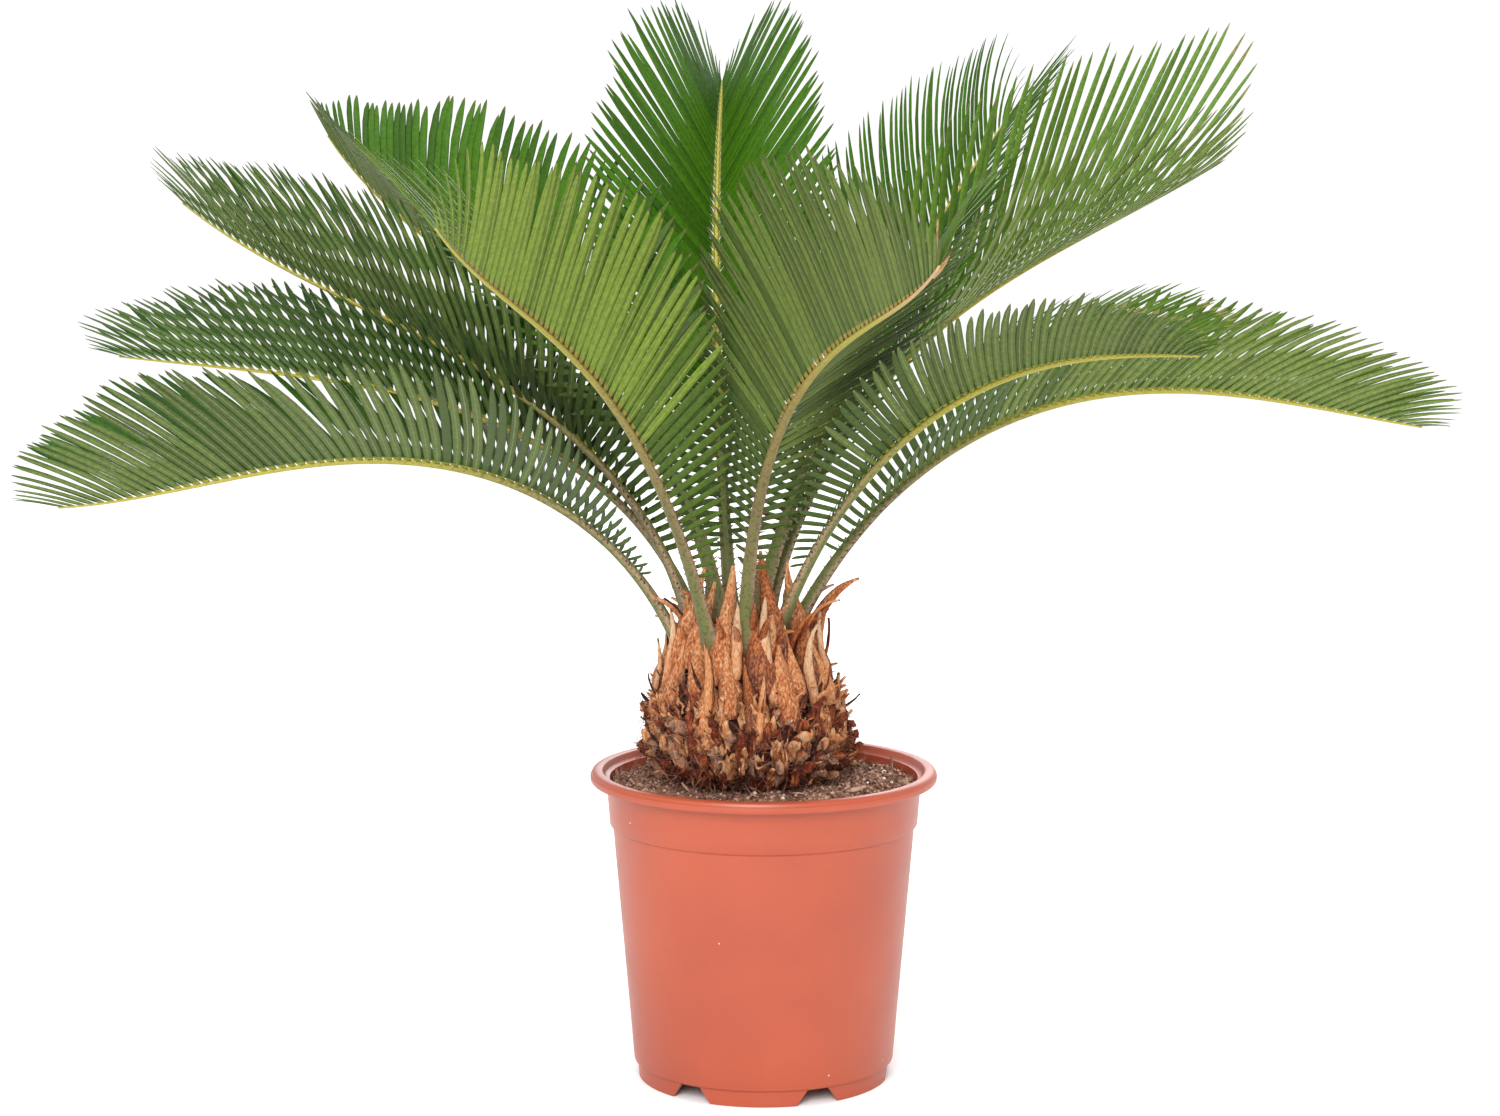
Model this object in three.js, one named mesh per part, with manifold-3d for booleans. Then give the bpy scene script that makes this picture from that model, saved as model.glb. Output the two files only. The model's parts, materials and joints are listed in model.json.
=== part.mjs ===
// Sago palm in a round nursery pot, modelled as a potted plant that stands on the feet of its pot.
// Millimetres, +Z up. The pot's axis is vertical; -Y is the front of the plant and +X its right.
// Every piece is built round the pot's axis first, and the whole plant is then moved sideways so
// that the origin lies on the ground under the middle of its spread.

import * as THREE from "three";
import { mergeVertices } from "three/addons/utils/BufferGeometryUtils.js";
import Module from "manifold-3d";

const wasm = await Module();
wasm.setup();

// ---------------------------------------------------------------- driving dimensions

const GAP = 0.3; // clearance left between pieces that touch

const POT_SEGMENTS = 36;
const RIM_TOP = 171.5; // height of the pot
const RIM_RADIUS = 95; // widest part of the rolled lip
const LIP_BOTTOM = 165.8;
const LIP_SECTION = [
  // inset from the rim's radius, height above the lip's bottom
  [2, -0.4],
  [0.4, 0.6],
  [0, 2.2],
  [1.6, 4.7],
  [4.5, 5.7],
  [7.5, 5.3],
];
const STEP_HEIGHT = 141; // where the plain body meets the wider stacking band
const BAND_TOP_RADIUS = 86.2;
const BAND_FOOT_RADIUS = 84.4;
const BODY_TOP_RADIUS = 82.6;
const BODY_FOOT_RADIUS = 71.5;
const FOOT_HEIGHT = 9.2; // the skirt that the feet are cut from
const FOOT_RADIUS = 69;
const WALL = 1.7;
const FLOOR_TOP = 11.6;
const FLOOR_THICKNESS = 2;
const FOOT_WALL = 2;
const FOOT_DRAFT = 0.3; // the skirt widens by this much upwards
const SEAM = 0.4; // height of the small step above the skirt
const FOOT_COUNT = 6;
const NOTCH_FIRST = THREE.MathUtils.degToRad(-65); // heading of the notch beside the front foot
const NOTCH_TOP_WIDTH = 12.5;
const NOTCH_FOOT_WIDTH = 26.5;
const NOTCH_HEIGHT = 8.6;
const NOTCH_DEPTH = 14;
const DRAIN_RADIUS = 4.5;
const DRAIN_CIRCLE = 50;
const DRAIN_SIDES = 8;

const SOIL_EDGE = 163.5; // soil level at the pot's wall
const SOIL_TOP = 168; // flat plateau that the trunk stands on
const PLATEAU_RADIUS = 62;
const SHOULDER_RADIUS = 74; // where the soil's slope to the wall steepens
const SHOULDER_HEIGHT = 165.8;

const TRUNK_SIDES = 20;
const SCALES_SIDES = 10;
const TRUNK_X_FOOT = -6; // the trunk leans a little to the left
const TRUNK_X_TOP = -9;
const TRUNK_PROFILE = [
  // height above the soil, radius
  [0, 54],
  [8, 57],
  [24, 56],
  [40, 54],
  [54, 48],
  [66, 40],
  [74, 31],
  [79, 18],
];
const TRUNK_LUMP = 0.035; // share by which the trunk's outline swells and shrinks
const SCALES_LUMP = 0.05;
const BROAD_LUMPS = { count: 5, slant: 1 / 9 }; // swellings round the trunk, and their turn per mm of height
const FINE_LUMPS = { count: 8, slant: 1 / 6, share: 0.6 };
const SCALES_PROFILE = [
  // ring of pointed scales round the foot of the fronds: height above the soil, radius
  [68, 33],
  [78, 29],
  [88, 22],
  [97, 12],
];

const RIB_SIDES = 6;
const STALK_STEPS = 5;
const RIB_STEPS = 10;
const CURVE_STEPS = 200; // steps of the midrib's path
const BARE_SHARE = 0.2; // share of the midrib that is stalk, without leaflets
const LAST_SHARE = 0.995; // where the last pair of leaflets sits

const SPLIT_SHARE = 0.004; // share of the leafy length left open where a blade is parted
const BLADE_STATIONS = 10;
const FEWEST_STATIONS = 5;
const BLADE_THICKNESS = 1;
const FIRST_LEAFLET = 0.36; // length of the lowest leaflets and of the end ones, as shares of the longest
const END_LEAFLET = 0.2;
const GROWTH_START = -0.05; // share of the leafy length where the leaflets' growth would begin
const FADE_STRETCH = [0.6, 0.94]; // stretches where the leaflets shorten, first gently and then to the end
const END_STRETCH = [0.88, 1.02];
const FOOT_STAND = 6; // the lowest leaflets stand this many degrees lower
const BEND_FROM = 0.25; // share of a leaflet where it starts to turn towards the tip
const DROP_FROM = 0.3; // and to drop outwards
const HALF_MIDDLES = [0.25, 0.75]; // middles of a leaflet's two halves
const LEAFLET_ANGLES = [
  // share of the leafy length, angle between leaflet and midrib
  [0, 92],
  [0.12, 82],
  [0.35, 68],
  [0.65, 54],
  [0.88, 38],
  [1, 14],
];
const OPEN_SHARE = [
  // share of the leafy length, share of a frond's extra widening
  [0, 0],
  [0.35, 1],
  [0.65, 1],
  [1, 0.2],
];
const RIB_TAPER = [
  // share of the midrib's length, radius
  [0, 4.3],
  [0.2, 2.9],
  [0.6, 1.9],
  [1, 0.9],
];

// Each frond starts at foot = [heading, radius, height] round the trunk's top. Its midrib climbs at
// the angles of rise and runs along the headings of turn, blended smoothly from foot to tip. roll
// turns the blades round the midrib, vee is how steeply both rows of leaflets stand, and bend how
// far a leaflet turns towards the frond's tip and drops outwards along its length. leaflet is the
// longest leaflet, full where the leaflets reach that length, fade how early they shorten, and open
// widens their angle. split is where an arched blade is parted at its bend.
const FRONDS = [
  { foot: [66, 24, 246], length: 382, rise: [76, 37, 20, 30], turn: [38, 59, -14], roll: [2, 35],
    vee: [64, 33], bend: [-9, -25], leaflet: 134, full: 0.6, fade: 0.06, open: -15 },
  { foot: [62, 12, 254], length: 401, rise: [72, 37, 30, 37], turn: [45, 68, 55], roll: [16, 5],
    vee: [44, 38], bend: [25, 20], leaflet: 114, full: 0.3, fade: 0.2, open: -19 },
  { foot: [107, 26, 242], length: 396, rise: [69, 71, 47, 21], turn: [105, 86, 89], roll: [-11, 3],
    vee: [46, 53], bend: [20, 22], leaflet: 113, full: 0.35, fade: 0.24, open: -3 },
  { foot: [137, 20, 249], length: 411, rise: [80, 30, 4, 52], turn: [136, 135, 152], roll: [-47, 10],
    vee: [57, 53], bend: [-14, 37], leaflet: 118, full: 0.35, fade: 0.49, open: -10 },
  { foot: [158, 27, 241], length: 402, rise: [75, 13, 1, 5], turn: [158, 165, 167], roll: [13, -1],
    vee: [44, 49], bend: [4, 17], leaflet: 88, full: 0.36, fade: 0.32, open: 0, split: 0.3 },
  { foot: [170, 30, 242], length: 394, rise: [80, 31, 8, 35], turn: [169, 169, 158], roll: [9, 5],
    vee: [57, 47], bend: [18, 0], leaflet: 99, full: 0.33, fade: 0.35, open: -13 },
  { foot: [187, 35, 235], length: 379, rise: [69, 28, -34, -2], turn: [181, 195, 189], roll: [6, 5],
    vee: [25, 64], bend: [11, -2], leaflet: 119, full: 0.3, fade: 0.48, open: 11, split: 0.36 },
  { foot: [238, 34, 237], length: 403, rise: [69, 54, 2, 30], turn: [239, 243, 254], roll: [0, -3],
    vee: [57, 39], bend: [13, 21], leaflet: 102, full: 0.48, fade: 0.12, open: -9 },
  { foot: [267, 30, 239], length: 408, rise: [80, 46, -6, 25], turn: [278, 297, 282], roll: [-30, -3],
    vee: [50, 54], bend: [-7, 4], leaflet: 100, full: 0.37, fade: 0.37, open: 9 },
  { foot: [315, 19, 240], length: 397, rise: [68, 44, 0, 4], turn: [322, 311, 294], roll: [15, -2],
    vee: [35, 58], bend: [15, 23], leaflet: 78, full: 0.42, fade: 0.33, open: -17, split: 0.34 },
  { foot: [11, 23, 242], length: 421, rise: [63, 36, -23, -9], turn: [17, 21, 1], roll: [18, -9],
    vee: [54, 64], bend: [18, 14], leaflet: 81, full: 0.54, fade: 0.24, open: -7, split: 0.36 },
];

const COLOURS = {
  pot: 0xcb5f45,
  soil: 0x3a2a20,
  trunk: 0x9a5f38,
  scales: 0xc98a5a,
  stalk: 0x7b8446,
  rib: 0xb9b552,
  blade: 0x4f8a34,
};

// ---------------------------------------------------------------- small helpers

const rad = THREE.MathUtils.degToRad;
const vec = (x, y, z) => new THREE.Vector3(x, y, z);

function smoothstep(low, high, value) {
  return THREE.MathUtils.smoothstep(value, low, high);
}

// Straight-line blend through rows of [position, value].
function blend(rows, at) {
  for (let i = 1; i < rows.length; i += 1) {
    const [x0, y0] = rows[i - 1];
    const [x1, y1] = rows[i];
    if (at <= x1) return THREE.MathUtils.mapLinear(at, x0, x1, y0, y1);
  }
  return rows[rows.length - 1][1];
}

// Bernstein blend of a few control values, from the first at 0 to the last at 1.
function bezier(values, at) {
  let row = values.slice();
  while (row.length > 1) {
    row = row.slice(1).map((value, i) => THREE.MathUtils.lerp(row[i], value, at));
  }
  return row[0];
}

// Closed skin over rings of equally many points, an even number. Each end ring is closed by a strip
// that joins the points of its first half to those of its second, so a bent strip closes cleanly.
// The halves are parted along opposite diagonals, which keeps both faces of a twisted strip apart.
function loft(rings) {
  const count = rings[0].length;
  const positions = [];
  const push = (...points) => points.forEach((p) => positions.push(p.x, p.y, p.z));
  for (let i = 1; i < rings.length; i += 1) {
    const [near, next] = [rings[i - 1], rings[i]];
    for (let j = 0; j < count; j += 1) {
      const k = (j + 1) % count;
      if (j < count / 2) {
        push(near[j], near[k], next[k]);
        push(near[j], next[k], next[j]);
      } else {
        push(near[j], near[k], next[j]);
        push(near[k], next[k], next[j]);
      }
    }
  }
  const first = rings[0];
  const last = rings[rings.length - 1];
  for (let j = 0; j < count / 2 - 1; j += 1) {
    const far = count - 1 - j;
    push(first[j], first[far], first[far - 1]);
    push(first[j], first[far - 1], first[j + 1]);
    push(last[j], last[far - 1], last[far]);
    push(last[j], last[j + 1], last[far - 1]);
  }
  const geometry = new THREE.BufferGeometry();
  geometry.setAttribute("position", new THREE.Float32BufferAttribute(positions, 3));
  return geometry;
}

function toSolid(geometry) {
  const plain = geometry.clone();
  plain.deleteAttribute("normal");
  plain.deleteAttribute("uv");
  const merged = mergeVertices(plain, 1e-4);
  const solid = new wasm.Manifold(
    new wasm.Mesh({
      numProp: 3,
      vertProperties: new Float32Array(merged.attributes.position.array),
      triVerts: new Uint32Array(merged.index.array),
    }),
  );
  return solid.volume() < 0 ? toSolid(flipped(merged)) : solid;
}

function flipped(geometry) {
  const turned = geometry.clone();
  const index = Array.from(turned.index.array);
  for (let i = 0; i < index.length; i += 3) [index[i], index[i + 1]] = [index[i + 1], index[i]];
  turned.setIndex(index);
  return turned;
}

function toGeometry(solid) {
  const mesh = solid.getMesh();
  const geometry = new THREE.BufferGeometry();
  geometry.setAttribute("position", new THREE.Float32BufferAttribute(mesh.vertProperties, 3));
  geometry.setIndex(new THREE.Uint32BufferAttribute(mesh.triVerts, 1));
  return geometry;
}

function boxesMeet(a, b) {
  return [0, 1, 2].every((i) => a.min[i] <= b.max[i] && b.min[i] <= a.max[i]);
}

// Takes the cutters out of a solid and keeps the largest body that is left.
function cutClear(solid, cutters) {
  let left = solid;
  for (const cutter of cutters) {
    if (boxesMeet(left.boundingBox(), cutter.boundingBox())) left = left.subtract(cutter);
  }
  const bodies = left.decompose();
  return bodies.reduce((best, body) => (body.volume() > best.volume() ? body : best));
}

const plant = new THREE.Group();

function addPiece(name, solid, colour, roughness) {
  const geometry = toGeometry(solid);
  geometry.computeVertexNormals();
  const finish = { color: colour, roughness, metalness: 0, flatShading: true };
  const material = new THREE.MeshStandardMaterial(finish);
  const mesh = new THREE.Mesh(geometry, material);
  mesh.name = name;
  plant.add(mesh);
}

// ---------------------------------------------------------------- pot and soil

// Radius of the pot's inside wall at a height.
const INNER_WALL = [
  [FLOOR_TOP, BODY_FOOT_RADIUS - WALL],
  [STEP_HEIGHT - WALL, BODY_TOP_RADIUS - WALL],
  [STEP_HEIGHT, BAND_FOOT_RADIUS - WALL],
  [LIP_BOTTOM, BAND_TOP_RADIUS - WALL],
];

function lathe(profile) {
  const points = profile.map(([radius, height]) => new THREE.Vector2(radius, height));
  return new THREE.LatheGeometry(points, POT_SEGMENTS).rotateX(Math.PI / 2);
}

function potSolid() {
  const floorBottom = FLOOR_TOP - FLOOR_THICKNESS;
  const outside = [
    [0, floorBottom],
    [FOOT_RADIUS - FOOT_WALL, floorBottom],
    [FOOT_RADIUS - FOOT_WALL, 0],
    [FOOT_RADIUS, 0],
    [FOOT_RADIUS + FOOT_DRAFT, FOOT_HEIGHT],
    [BODY_FOOT_RADIUS, FOOT_HEIGHT + SEAM],
    [BODY_TOP_RADIUS, STEP_HEIGHT],
    [BAND_FOOT_RADIUS, STEP_HEIGHT + SEAM],
    [BAND_TOP_RADIUS, LIP_BOTTOM],
  ];
  const lip = LIP_SECTION.map(([inset, height]) => [RIM_RADIUS - inset, LIP_BOTTOM + height]);
  const inside = INNER_WALL.map(([height, radius]) => [radius, height]).reverse();
  let pot = toSolid(lathe([...outside, ...lip, ...inside, [0, FLOOR_TOP]]));

  const notchOutline = new THREE.Shape([
    new THREE.Vector2(-NOTCH_FOOT_WIDTH / 2, -1),
    new THREE.Vector2(NOTCH_FOOT_WIDTH / 2, -1),
    new THREE.Vector2(NOTCH_TOP_WIDTH / 2, NOTCH_HEIGHT),
    new THREE.Vector2(-NOTCH_TOP_WIDTH / 2, NOTCH_HEIGHT),
  ]);
  for (let i = 0; i < FOOT_COUNT; i += 1) {
    const heading = NOTCH_FIRST + (i * 2 * Math.PI) / FOOT_COUNT;
    const notch = new THREE.ExtrudeGeometry(notchOutline, { depth: NOTCH_DEPTH, bevelEnabled: false });
    notch.rotateX(Math.PI / 2); // outline upright, depth along -Y
    notch.translate(0, NOTCH_DEPTH / 2, 0);
    notch.rotateZ(Math.PI / 2); // depth along X
    notch.translate(FOOT_RADIUS, 0, 0);
    notch.rotateZ(heading);
    pot = pot.subtract(toSolid(notch));

    const drain = new THREE.CylinderGeometry(DRAIN_RADIUS, DRAIN_RADIUS, 3 * FLOOR_THICKNESS, DRAIN_SIDES);
    drain.rotateX(Math.PI / 2);
    drain.translate(DRAIN_CIRCLE, 0, FLOOR_TOP);
    drain.rotateZ(heading);
    pot = pot.subtract(toSolid(drain));
  }
  return pot;
}

function soilSolid() {
  const wall = INNER_WALL.filter(([height]) => height < SOIL_EDGE);
  const side = wall.map(([height, radius]) => [radius - GAP, height + GAP]);
  side.push([blend(INNER_WALL, SOIL_EDGE) - GAP, SOIL_EDGE]);
  const top = [
    [SHOULDER_RADIUS, SHOULDER_HEIGHT],
    [PLATEAU_RADIUS, SOIL_TOP],
    [0, SOIL_TOP],
  ];
  return toSolid(lathe([[0, FLOOR_TOP + GAP], ...side, ...top]));
}

// ---------------------------------------------------------------- trunk and scales

function leanAt(heightAboveSoil) {
  const top = TRUNK_PROFILE[TRUNK_PROFILE.length - 1][0];
  return THREE.MathUtils.mapLinear(heightAboveSoil, 0, top, TRUNK_X_FOOT, TRUNK_X_TOP);
}

// Uneven round body over rows of [height above the soil, radius], grown all round by extra.
function lumpySolid(profile, sides, lump, phase, extra) {
  const rings = profile.map(([height, radius]) => {
    const ring = [];
    for (let j = 0; j < sides; j += 1) {
      const angle = (j * 2 * Math.PI) / sides;
      const broad = Math.sin(BROAD_LUMPS.count * angle + phase + BROAD_LUMPS.slant * height);
      const fine = Math.sin(FINE_LUMPS.count * angle - FINE_LUMPS.slant * height);
      const swell = 1 + lump * (broad + FINE_LUMPS.share * fine);
      const r = radius * swell + extra;
      ring.push(vec(leanAt(height) + r * Math.cos(angle), r * Math.sin(angle), SOIL_TOP + GAP + height));
    }
    return ring;
  });
  if (extra > 0) {
    rings[0].forEach((p) => { p.z -= extra; });
    rings[rings.length - 1].forEach((p) => { p.z += extra; });
  }
  return toSolid(loft(rings));
}

// ---------------------------------------------------------------- fronds

// Path of a midrib: points with the forward, side and up directions of the blades there.
function midrib(frond) {
  const [heading, radius, height] = frond.foot;
  const step = frond.length / CURVE_STEPS;
  const point = vec(TRUNK_X_TOP + radius * Math.cos(rad(heading)), radius * Math.sin(rad(heading)), height);
  const direction = (at) => {
    const rise = rad(bezier(frond.rise, at));
    const turn = rad(bezier(frond.turn, at));
    return vec(Math.cos(rise) * Math.cos(turn), Math.cos(rise) * Math.sin(turn), Math.sin(rise));
  };
  const path = [];
  for (let i = 0; i <= CURVE_STEPS; i += 1) {
    const at = i / CURVE_STEPS;
    const forward = direction(at);
    const turn = rad(bezier(frond.turn, at));
    const side = vec(Math.sin(turn), -Math.cos(turn), 0);
    const up = side.clone().cross(forward);
    const roll = rad(bezier(frond.roll, at));
    const rolledUp = up.clone().multiplyScalar(Math.cos(roll)).addScaledVector(side, Math.sin(roll));
    const rolledSide = side.clone().multiplyScalar(Math.cos(roll)).addScaledVector(up, -Math.sin(roll));
    path.push({ at, point: point.clone(), forward, side: rolledSide, up: rolledUp });
    point.addScaledVector(direction(at + 0.5 / CURVE_STEPS), step);
  }
  return path;
}

// The midrib's point and directions at a share of its length.
function sample(path, at) {
  const place = at * CURVE_STEPS;
  const below = Math.min(Math.floor(place), CURVE_STEPS - 1);
  const low = path[below];
  const high = path[below + 1];
  const between = (key) => low[key].clone().lerp(high[key], place - below);
  return { point: between("point"), forward: between("forward"), side: between("side"), up: between("up") };
}

// Tapered round limb along the stretch of a midrib between two shares of its length.
function limbSolid(path, from, to, steps, extra) {
  const rings = [];
  for (let i = 0; i <= steps; i += 1) {
    const at = THREE.MathUtils.lerp(from, to, i / steps);
    const here = sample(path, at);
    const centre = here.point.clone();
    if (i === 0) centre.addScaledVector(here.forward, -extra);
    if (i === steps) centre.addScaledVector(here.forward, extra);
    const ring = [];
    for (let j = 0; j < RIB_SIDES; j += 1) {
      const angle = (j * 2 * Math.PI) / RIB_SIDES;
      const r = blend(RIB_TAPER, at) + extra;
      ring.push(centre.clone()
        .addScaledVector(here.side, r * Math.cos(angle))
        .addScaledVector(here.up, r * Math.sin(angle)));
    }
    rings.push(ring);
  }
  return toSolid(loft(rings));
}

function leafletLength(frond, u) {
  const start = FIRST_LEAFLET + (1 - FIRST_LEAFLET) * smoothstep(GROWTH_START, frond.full, u);
  const fading = frond.fade * smoothstep(...FADE_STRETCH, u);
  const ending = (1 - END_LEAFLET - frond.fade) * smoothstep(...END_STRETCH, u);
  return frond.leaflet * start * (1 - fading - ending);
}

// Base, middle and tip of the leaflet at share u of the leafy length, on side +1 (right) or -1.
function leafletPoints(frond, path, u, hand) {
  const at = BARE_SHARE + (LAST_SHARE - BARE_SHARE) * u;
  const here = sample(path, at);
  const spread = rad(blend(LEAFLET_ANGLES, u) + frond.open * blend(OPEN_SHARE, u));
  const stand = rad(blend([[0, frond.vee[0] - FOOT_STAND], [0.5, frond.vee[0]], [1, frond.vee[1]]], u));
  const aim = (share) => {
    const angle = spread - rad(frond.bend[0]) * (share - BEND_FROM);
    const lift = stand - rad(frond.bend[1]) * (share - DROP_FROM);
    return here.forward.clone().multiplyScalar(Math.cos(angle))
      .addScaledVector(here.side, hand * Math.sin(angle) * Math.cos(lift))
      .addScaledVector(here.up, Math.sin(angle) * Math.sin(lift));
  };
  const length = leafletLength(frond, u);
  const outward = here.side.clone().multiplyScalar(hand * Math.cos(stand));
  outward.addScaledVector(here.up, Math.sin(stand));
  const base = here.point.clone().addScaledVector(outward, blend(RIB_TAPER, at) + 2 * GAP);
  const middle = base.clone().addScaledVector(aim(HALF_MIDDLES[0]), length / 2);
  const tip = middle.clone().addScaledVector(aim(HALF_MIDDLES[1]), length / 2);
  return { base, middle, tip, forward: here.forward };
}

// Thin curved blade over one row of leaflets, between two shares of the leafy length.
function bladeSolid(frond, path, hand, from, to, extra) {
  const stations = Math.max(FEWEST_STATIONS, Math.round(BLADE_STATIONS * (to - from)) + 1);
  const half = BLADE_THICKNESS / 2 + extra;
  const rings = [];
  for (let i = 0; i < stations; i += 1) {
    const u = THREE.MathUtils.lerp(from, to, i / (stations - 1));
    const { base, middle, tip, forward } = leafletPoints(frond, path, u, hand);
    const chord = tip.clone().sub(base).normalize();
    const normal = forward.clone().cross(chord).multiplyScalar(hand).normalize();
    if (extra > 0) {
      const past = (i === 0 ? -extra : 0) + (i === stations - 1 ? extra : 0);
      [base, middle, tip].forEach((p) => p.addScaledVector(forward, past));
      base.addScaledVector(chord, -extra);
      tip.addScaledVector(chord, extra);
    }
    const above = [base, middle, tip].map((p) => p.clone().addScaledVector(normal, half));
    const below = [tip, middle, base].map((p) => p.clone().addScaledVector(normal, -half));
    rings.push([...above, ...below]);
  }
  return toSolid(loft(rings));
}

// ---------------------------------------------------------------- the plant

addPiece("pot", potSolid(), COLOURS.pot, 0.45);
addPiece("soil", soilSolid(), COLOURS.soil, 1);

const trunk = [TRUNK_PROFILE, TRUNK_SIDES, TRUNK_LUMP, 0];
addPiece("trunk", lumpySolid(...trunk, 0), COLOURS.trunk, 0.95);

// Grown copies of the pieces made so far, which later pieces keep clear of.
const taken = [lumpySolid(...trunk, GAP)];
const paths = FRONDS.map(midrib);
const label = (i) => `frond_${String(i + 1).padStart(2, "0")}`;

FRONDS.forEach((frond, i) => {
  const stalk = [paths[i], 0, BARE_SHARE - GAP / frond.length, STALK_STEPS];
  addPiece(`${label(i)}_stalk`, cutClear(limbSolid(...stalk, 0), taken), COLOURS.stalk, 0.6);
  taken.push(limbSolid(...stalk, GAP));
});

const scales = [SCALES_PROFILE, SCALES_SIDES, SCALES_LUMP, 1];
addPiece("crown_scales", cutClear(lumpySolid(...scales, 0), taken), COLOURS.scales, 0.95);
taken.push(lumpySolid(...scales, GAP));

FRONDS.forEach((frond, i) => {
  const rib = [paths[i], BARE_SHARE, 1, RIB_STEPS];
  addPiece(`${label(i)}_rib`, cutClear(limbSolid(...rib, 0), taken), COLOURS.rib, 0.6);
  taken.push(limbSolid(...rib, GAP));
});

FRONDS.forEach((frond, i) => {
  const cuts = frond.split ? [0, frond.split, 1] : [0, 1];
  for (const [side, hand] of [["left", -1], ["right", 1]]) {
    for (let k = 1; k < cuts.length; k += 1) {
      const from = cuts[k - 1] + (k > 1 ? SPLIT_SHARE : 0);
      const part = cuts.length > 2 ? ["", "_inner", "_outer"][k] : "";
      const blade = [frond, paths[i], hand, from, cuts[k]];
      addPiece(`${label(i)}_${side}${part}`, cutClear(bladeSolid(...blade, 0), taken), COLOURS.blade, 0.5);
      taken.push(bladeSolid(...blade, GAP));
    }
  }
});

plant.updateMatrixWorld(true);
const spread = new THREE.Box3().setFromObject(plant);
const middle = spread.getCenter(vec(0, 0, 0));
plant.position.set(-middle.x, -middle.y, 0);
plant.updateMatrixWorld(true);

export default plant;
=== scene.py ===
"""Finish of a young sago palm in a plastic nursery pot, built round its solid frame.

Lengths are millimetres from the pot's axis on the ground, unless a name says otherwise, and
to_frame() turns them into metres in the frame. -Y is the front, +Z is up.
"""

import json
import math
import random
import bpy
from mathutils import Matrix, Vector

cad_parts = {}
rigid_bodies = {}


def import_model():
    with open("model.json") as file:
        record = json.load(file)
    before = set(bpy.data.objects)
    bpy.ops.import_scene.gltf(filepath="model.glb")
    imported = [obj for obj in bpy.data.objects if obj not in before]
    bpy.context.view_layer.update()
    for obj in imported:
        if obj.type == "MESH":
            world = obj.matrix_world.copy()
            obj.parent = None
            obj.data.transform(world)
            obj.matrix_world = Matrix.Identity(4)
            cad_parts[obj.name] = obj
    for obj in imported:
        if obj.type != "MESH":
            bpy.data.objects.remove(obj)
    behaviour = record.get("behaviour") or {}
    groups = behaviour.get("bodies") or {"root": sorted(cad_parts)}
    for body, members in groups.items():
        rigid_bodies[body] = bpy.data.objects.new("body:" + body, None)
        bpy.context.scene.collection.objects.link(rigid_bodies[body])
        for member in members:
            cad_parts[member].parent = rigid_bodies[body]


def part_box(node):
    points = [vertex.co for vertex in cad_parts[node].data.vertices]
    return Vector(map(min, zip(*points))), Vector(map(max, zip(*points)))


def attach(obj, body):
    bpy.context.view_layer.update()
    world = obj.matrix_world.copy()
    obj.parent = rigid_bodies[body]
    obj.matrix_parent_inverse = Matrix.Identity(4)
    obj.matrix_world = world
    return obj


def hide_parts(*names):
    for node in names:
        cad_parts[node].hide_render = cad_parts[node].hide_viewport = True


bl_info = {
    "name": "Potted Sago Palm",
    "version": (1, 0, 0),
    "blender": (4, 5, 0),
    "location": "3D View > Sidebar > Sago Palm",
    "description": "Builds the finish of a potted sago palm round its solid frame",
    "category": "Add Mesh",
}

from dataclasses import dataclass
from functools import cache
from typing import NamedTuple

import bmesh
import bpy
from bpy.props import FloatProperty, FloatVectorProperty, IntProperty, PointerProperty
from bpy.types import Operator, Panel, PropertyGroup
from mathutils import Matrix, Vector, noise

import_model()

MM = 0.001
POT_LOW, POT_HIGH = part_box("pot")
POT_AXIS = Vector(((POT_LOW.x + POT_HIGH.x) / 2, (POT_LOW.y + POT_HIGH.y) / 2, 0))
UP = Vector((0, 0, 1))

# ---------------------------------------------------------------- sizes of the frame

RIM_TOP = 171.5
RIM_RADIUS = 95
LIP_BOTTOM = 165.8
STEP_HEIGHT = 141
BAND_TOP_RADIUS = 86.2
BAND_FOOT_RADIUS = 84.4
BODY_TOP_RADIUS = 82.6
BODY_FOOT_RADIUS = 71.5
BODY_STEPS = 6
SKIRT_HEIGHT = 9.2
SKIRT_RADIUS = 69
FLOOR_TOP = 11.6
FLOOR_BOTTOM = 9.6
FOOT_COUNT = 6
NOTCH_FIRST = math.radians(-65)
NOTCH_TOP_WIDTH = 12.5
NOTCH_FOOT_WIDTH = 26.5
NOTCH_HEIGHT = 8.6
NOTCH_REACH = 8  # how far a notch's cutter reaches into and out of the skirt
DRAIN_RADIUS = 4.5
DRAIN_CIRCLE = 50
DRAIN_SIDES = 24

SOIL_EDGE = 163.5
SOIL_TOP = 168
SOIL_RADIUS = 84
SOIL_FOOT = FLOOR_TOP + 0.3
SOIL_PROFILE = [(0, SOIL_TOP), (62, SOIL_TOP - 0.4), (74, SOIL_TOP - 2.2), (84, SOIL_EDGE)]
SOIL_RINGS = 26
SOIL_SEGMENTS = 96
OPEN_SOIL = (40, 83.5)  # ring where crumbs and fibres are strewn

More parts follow.
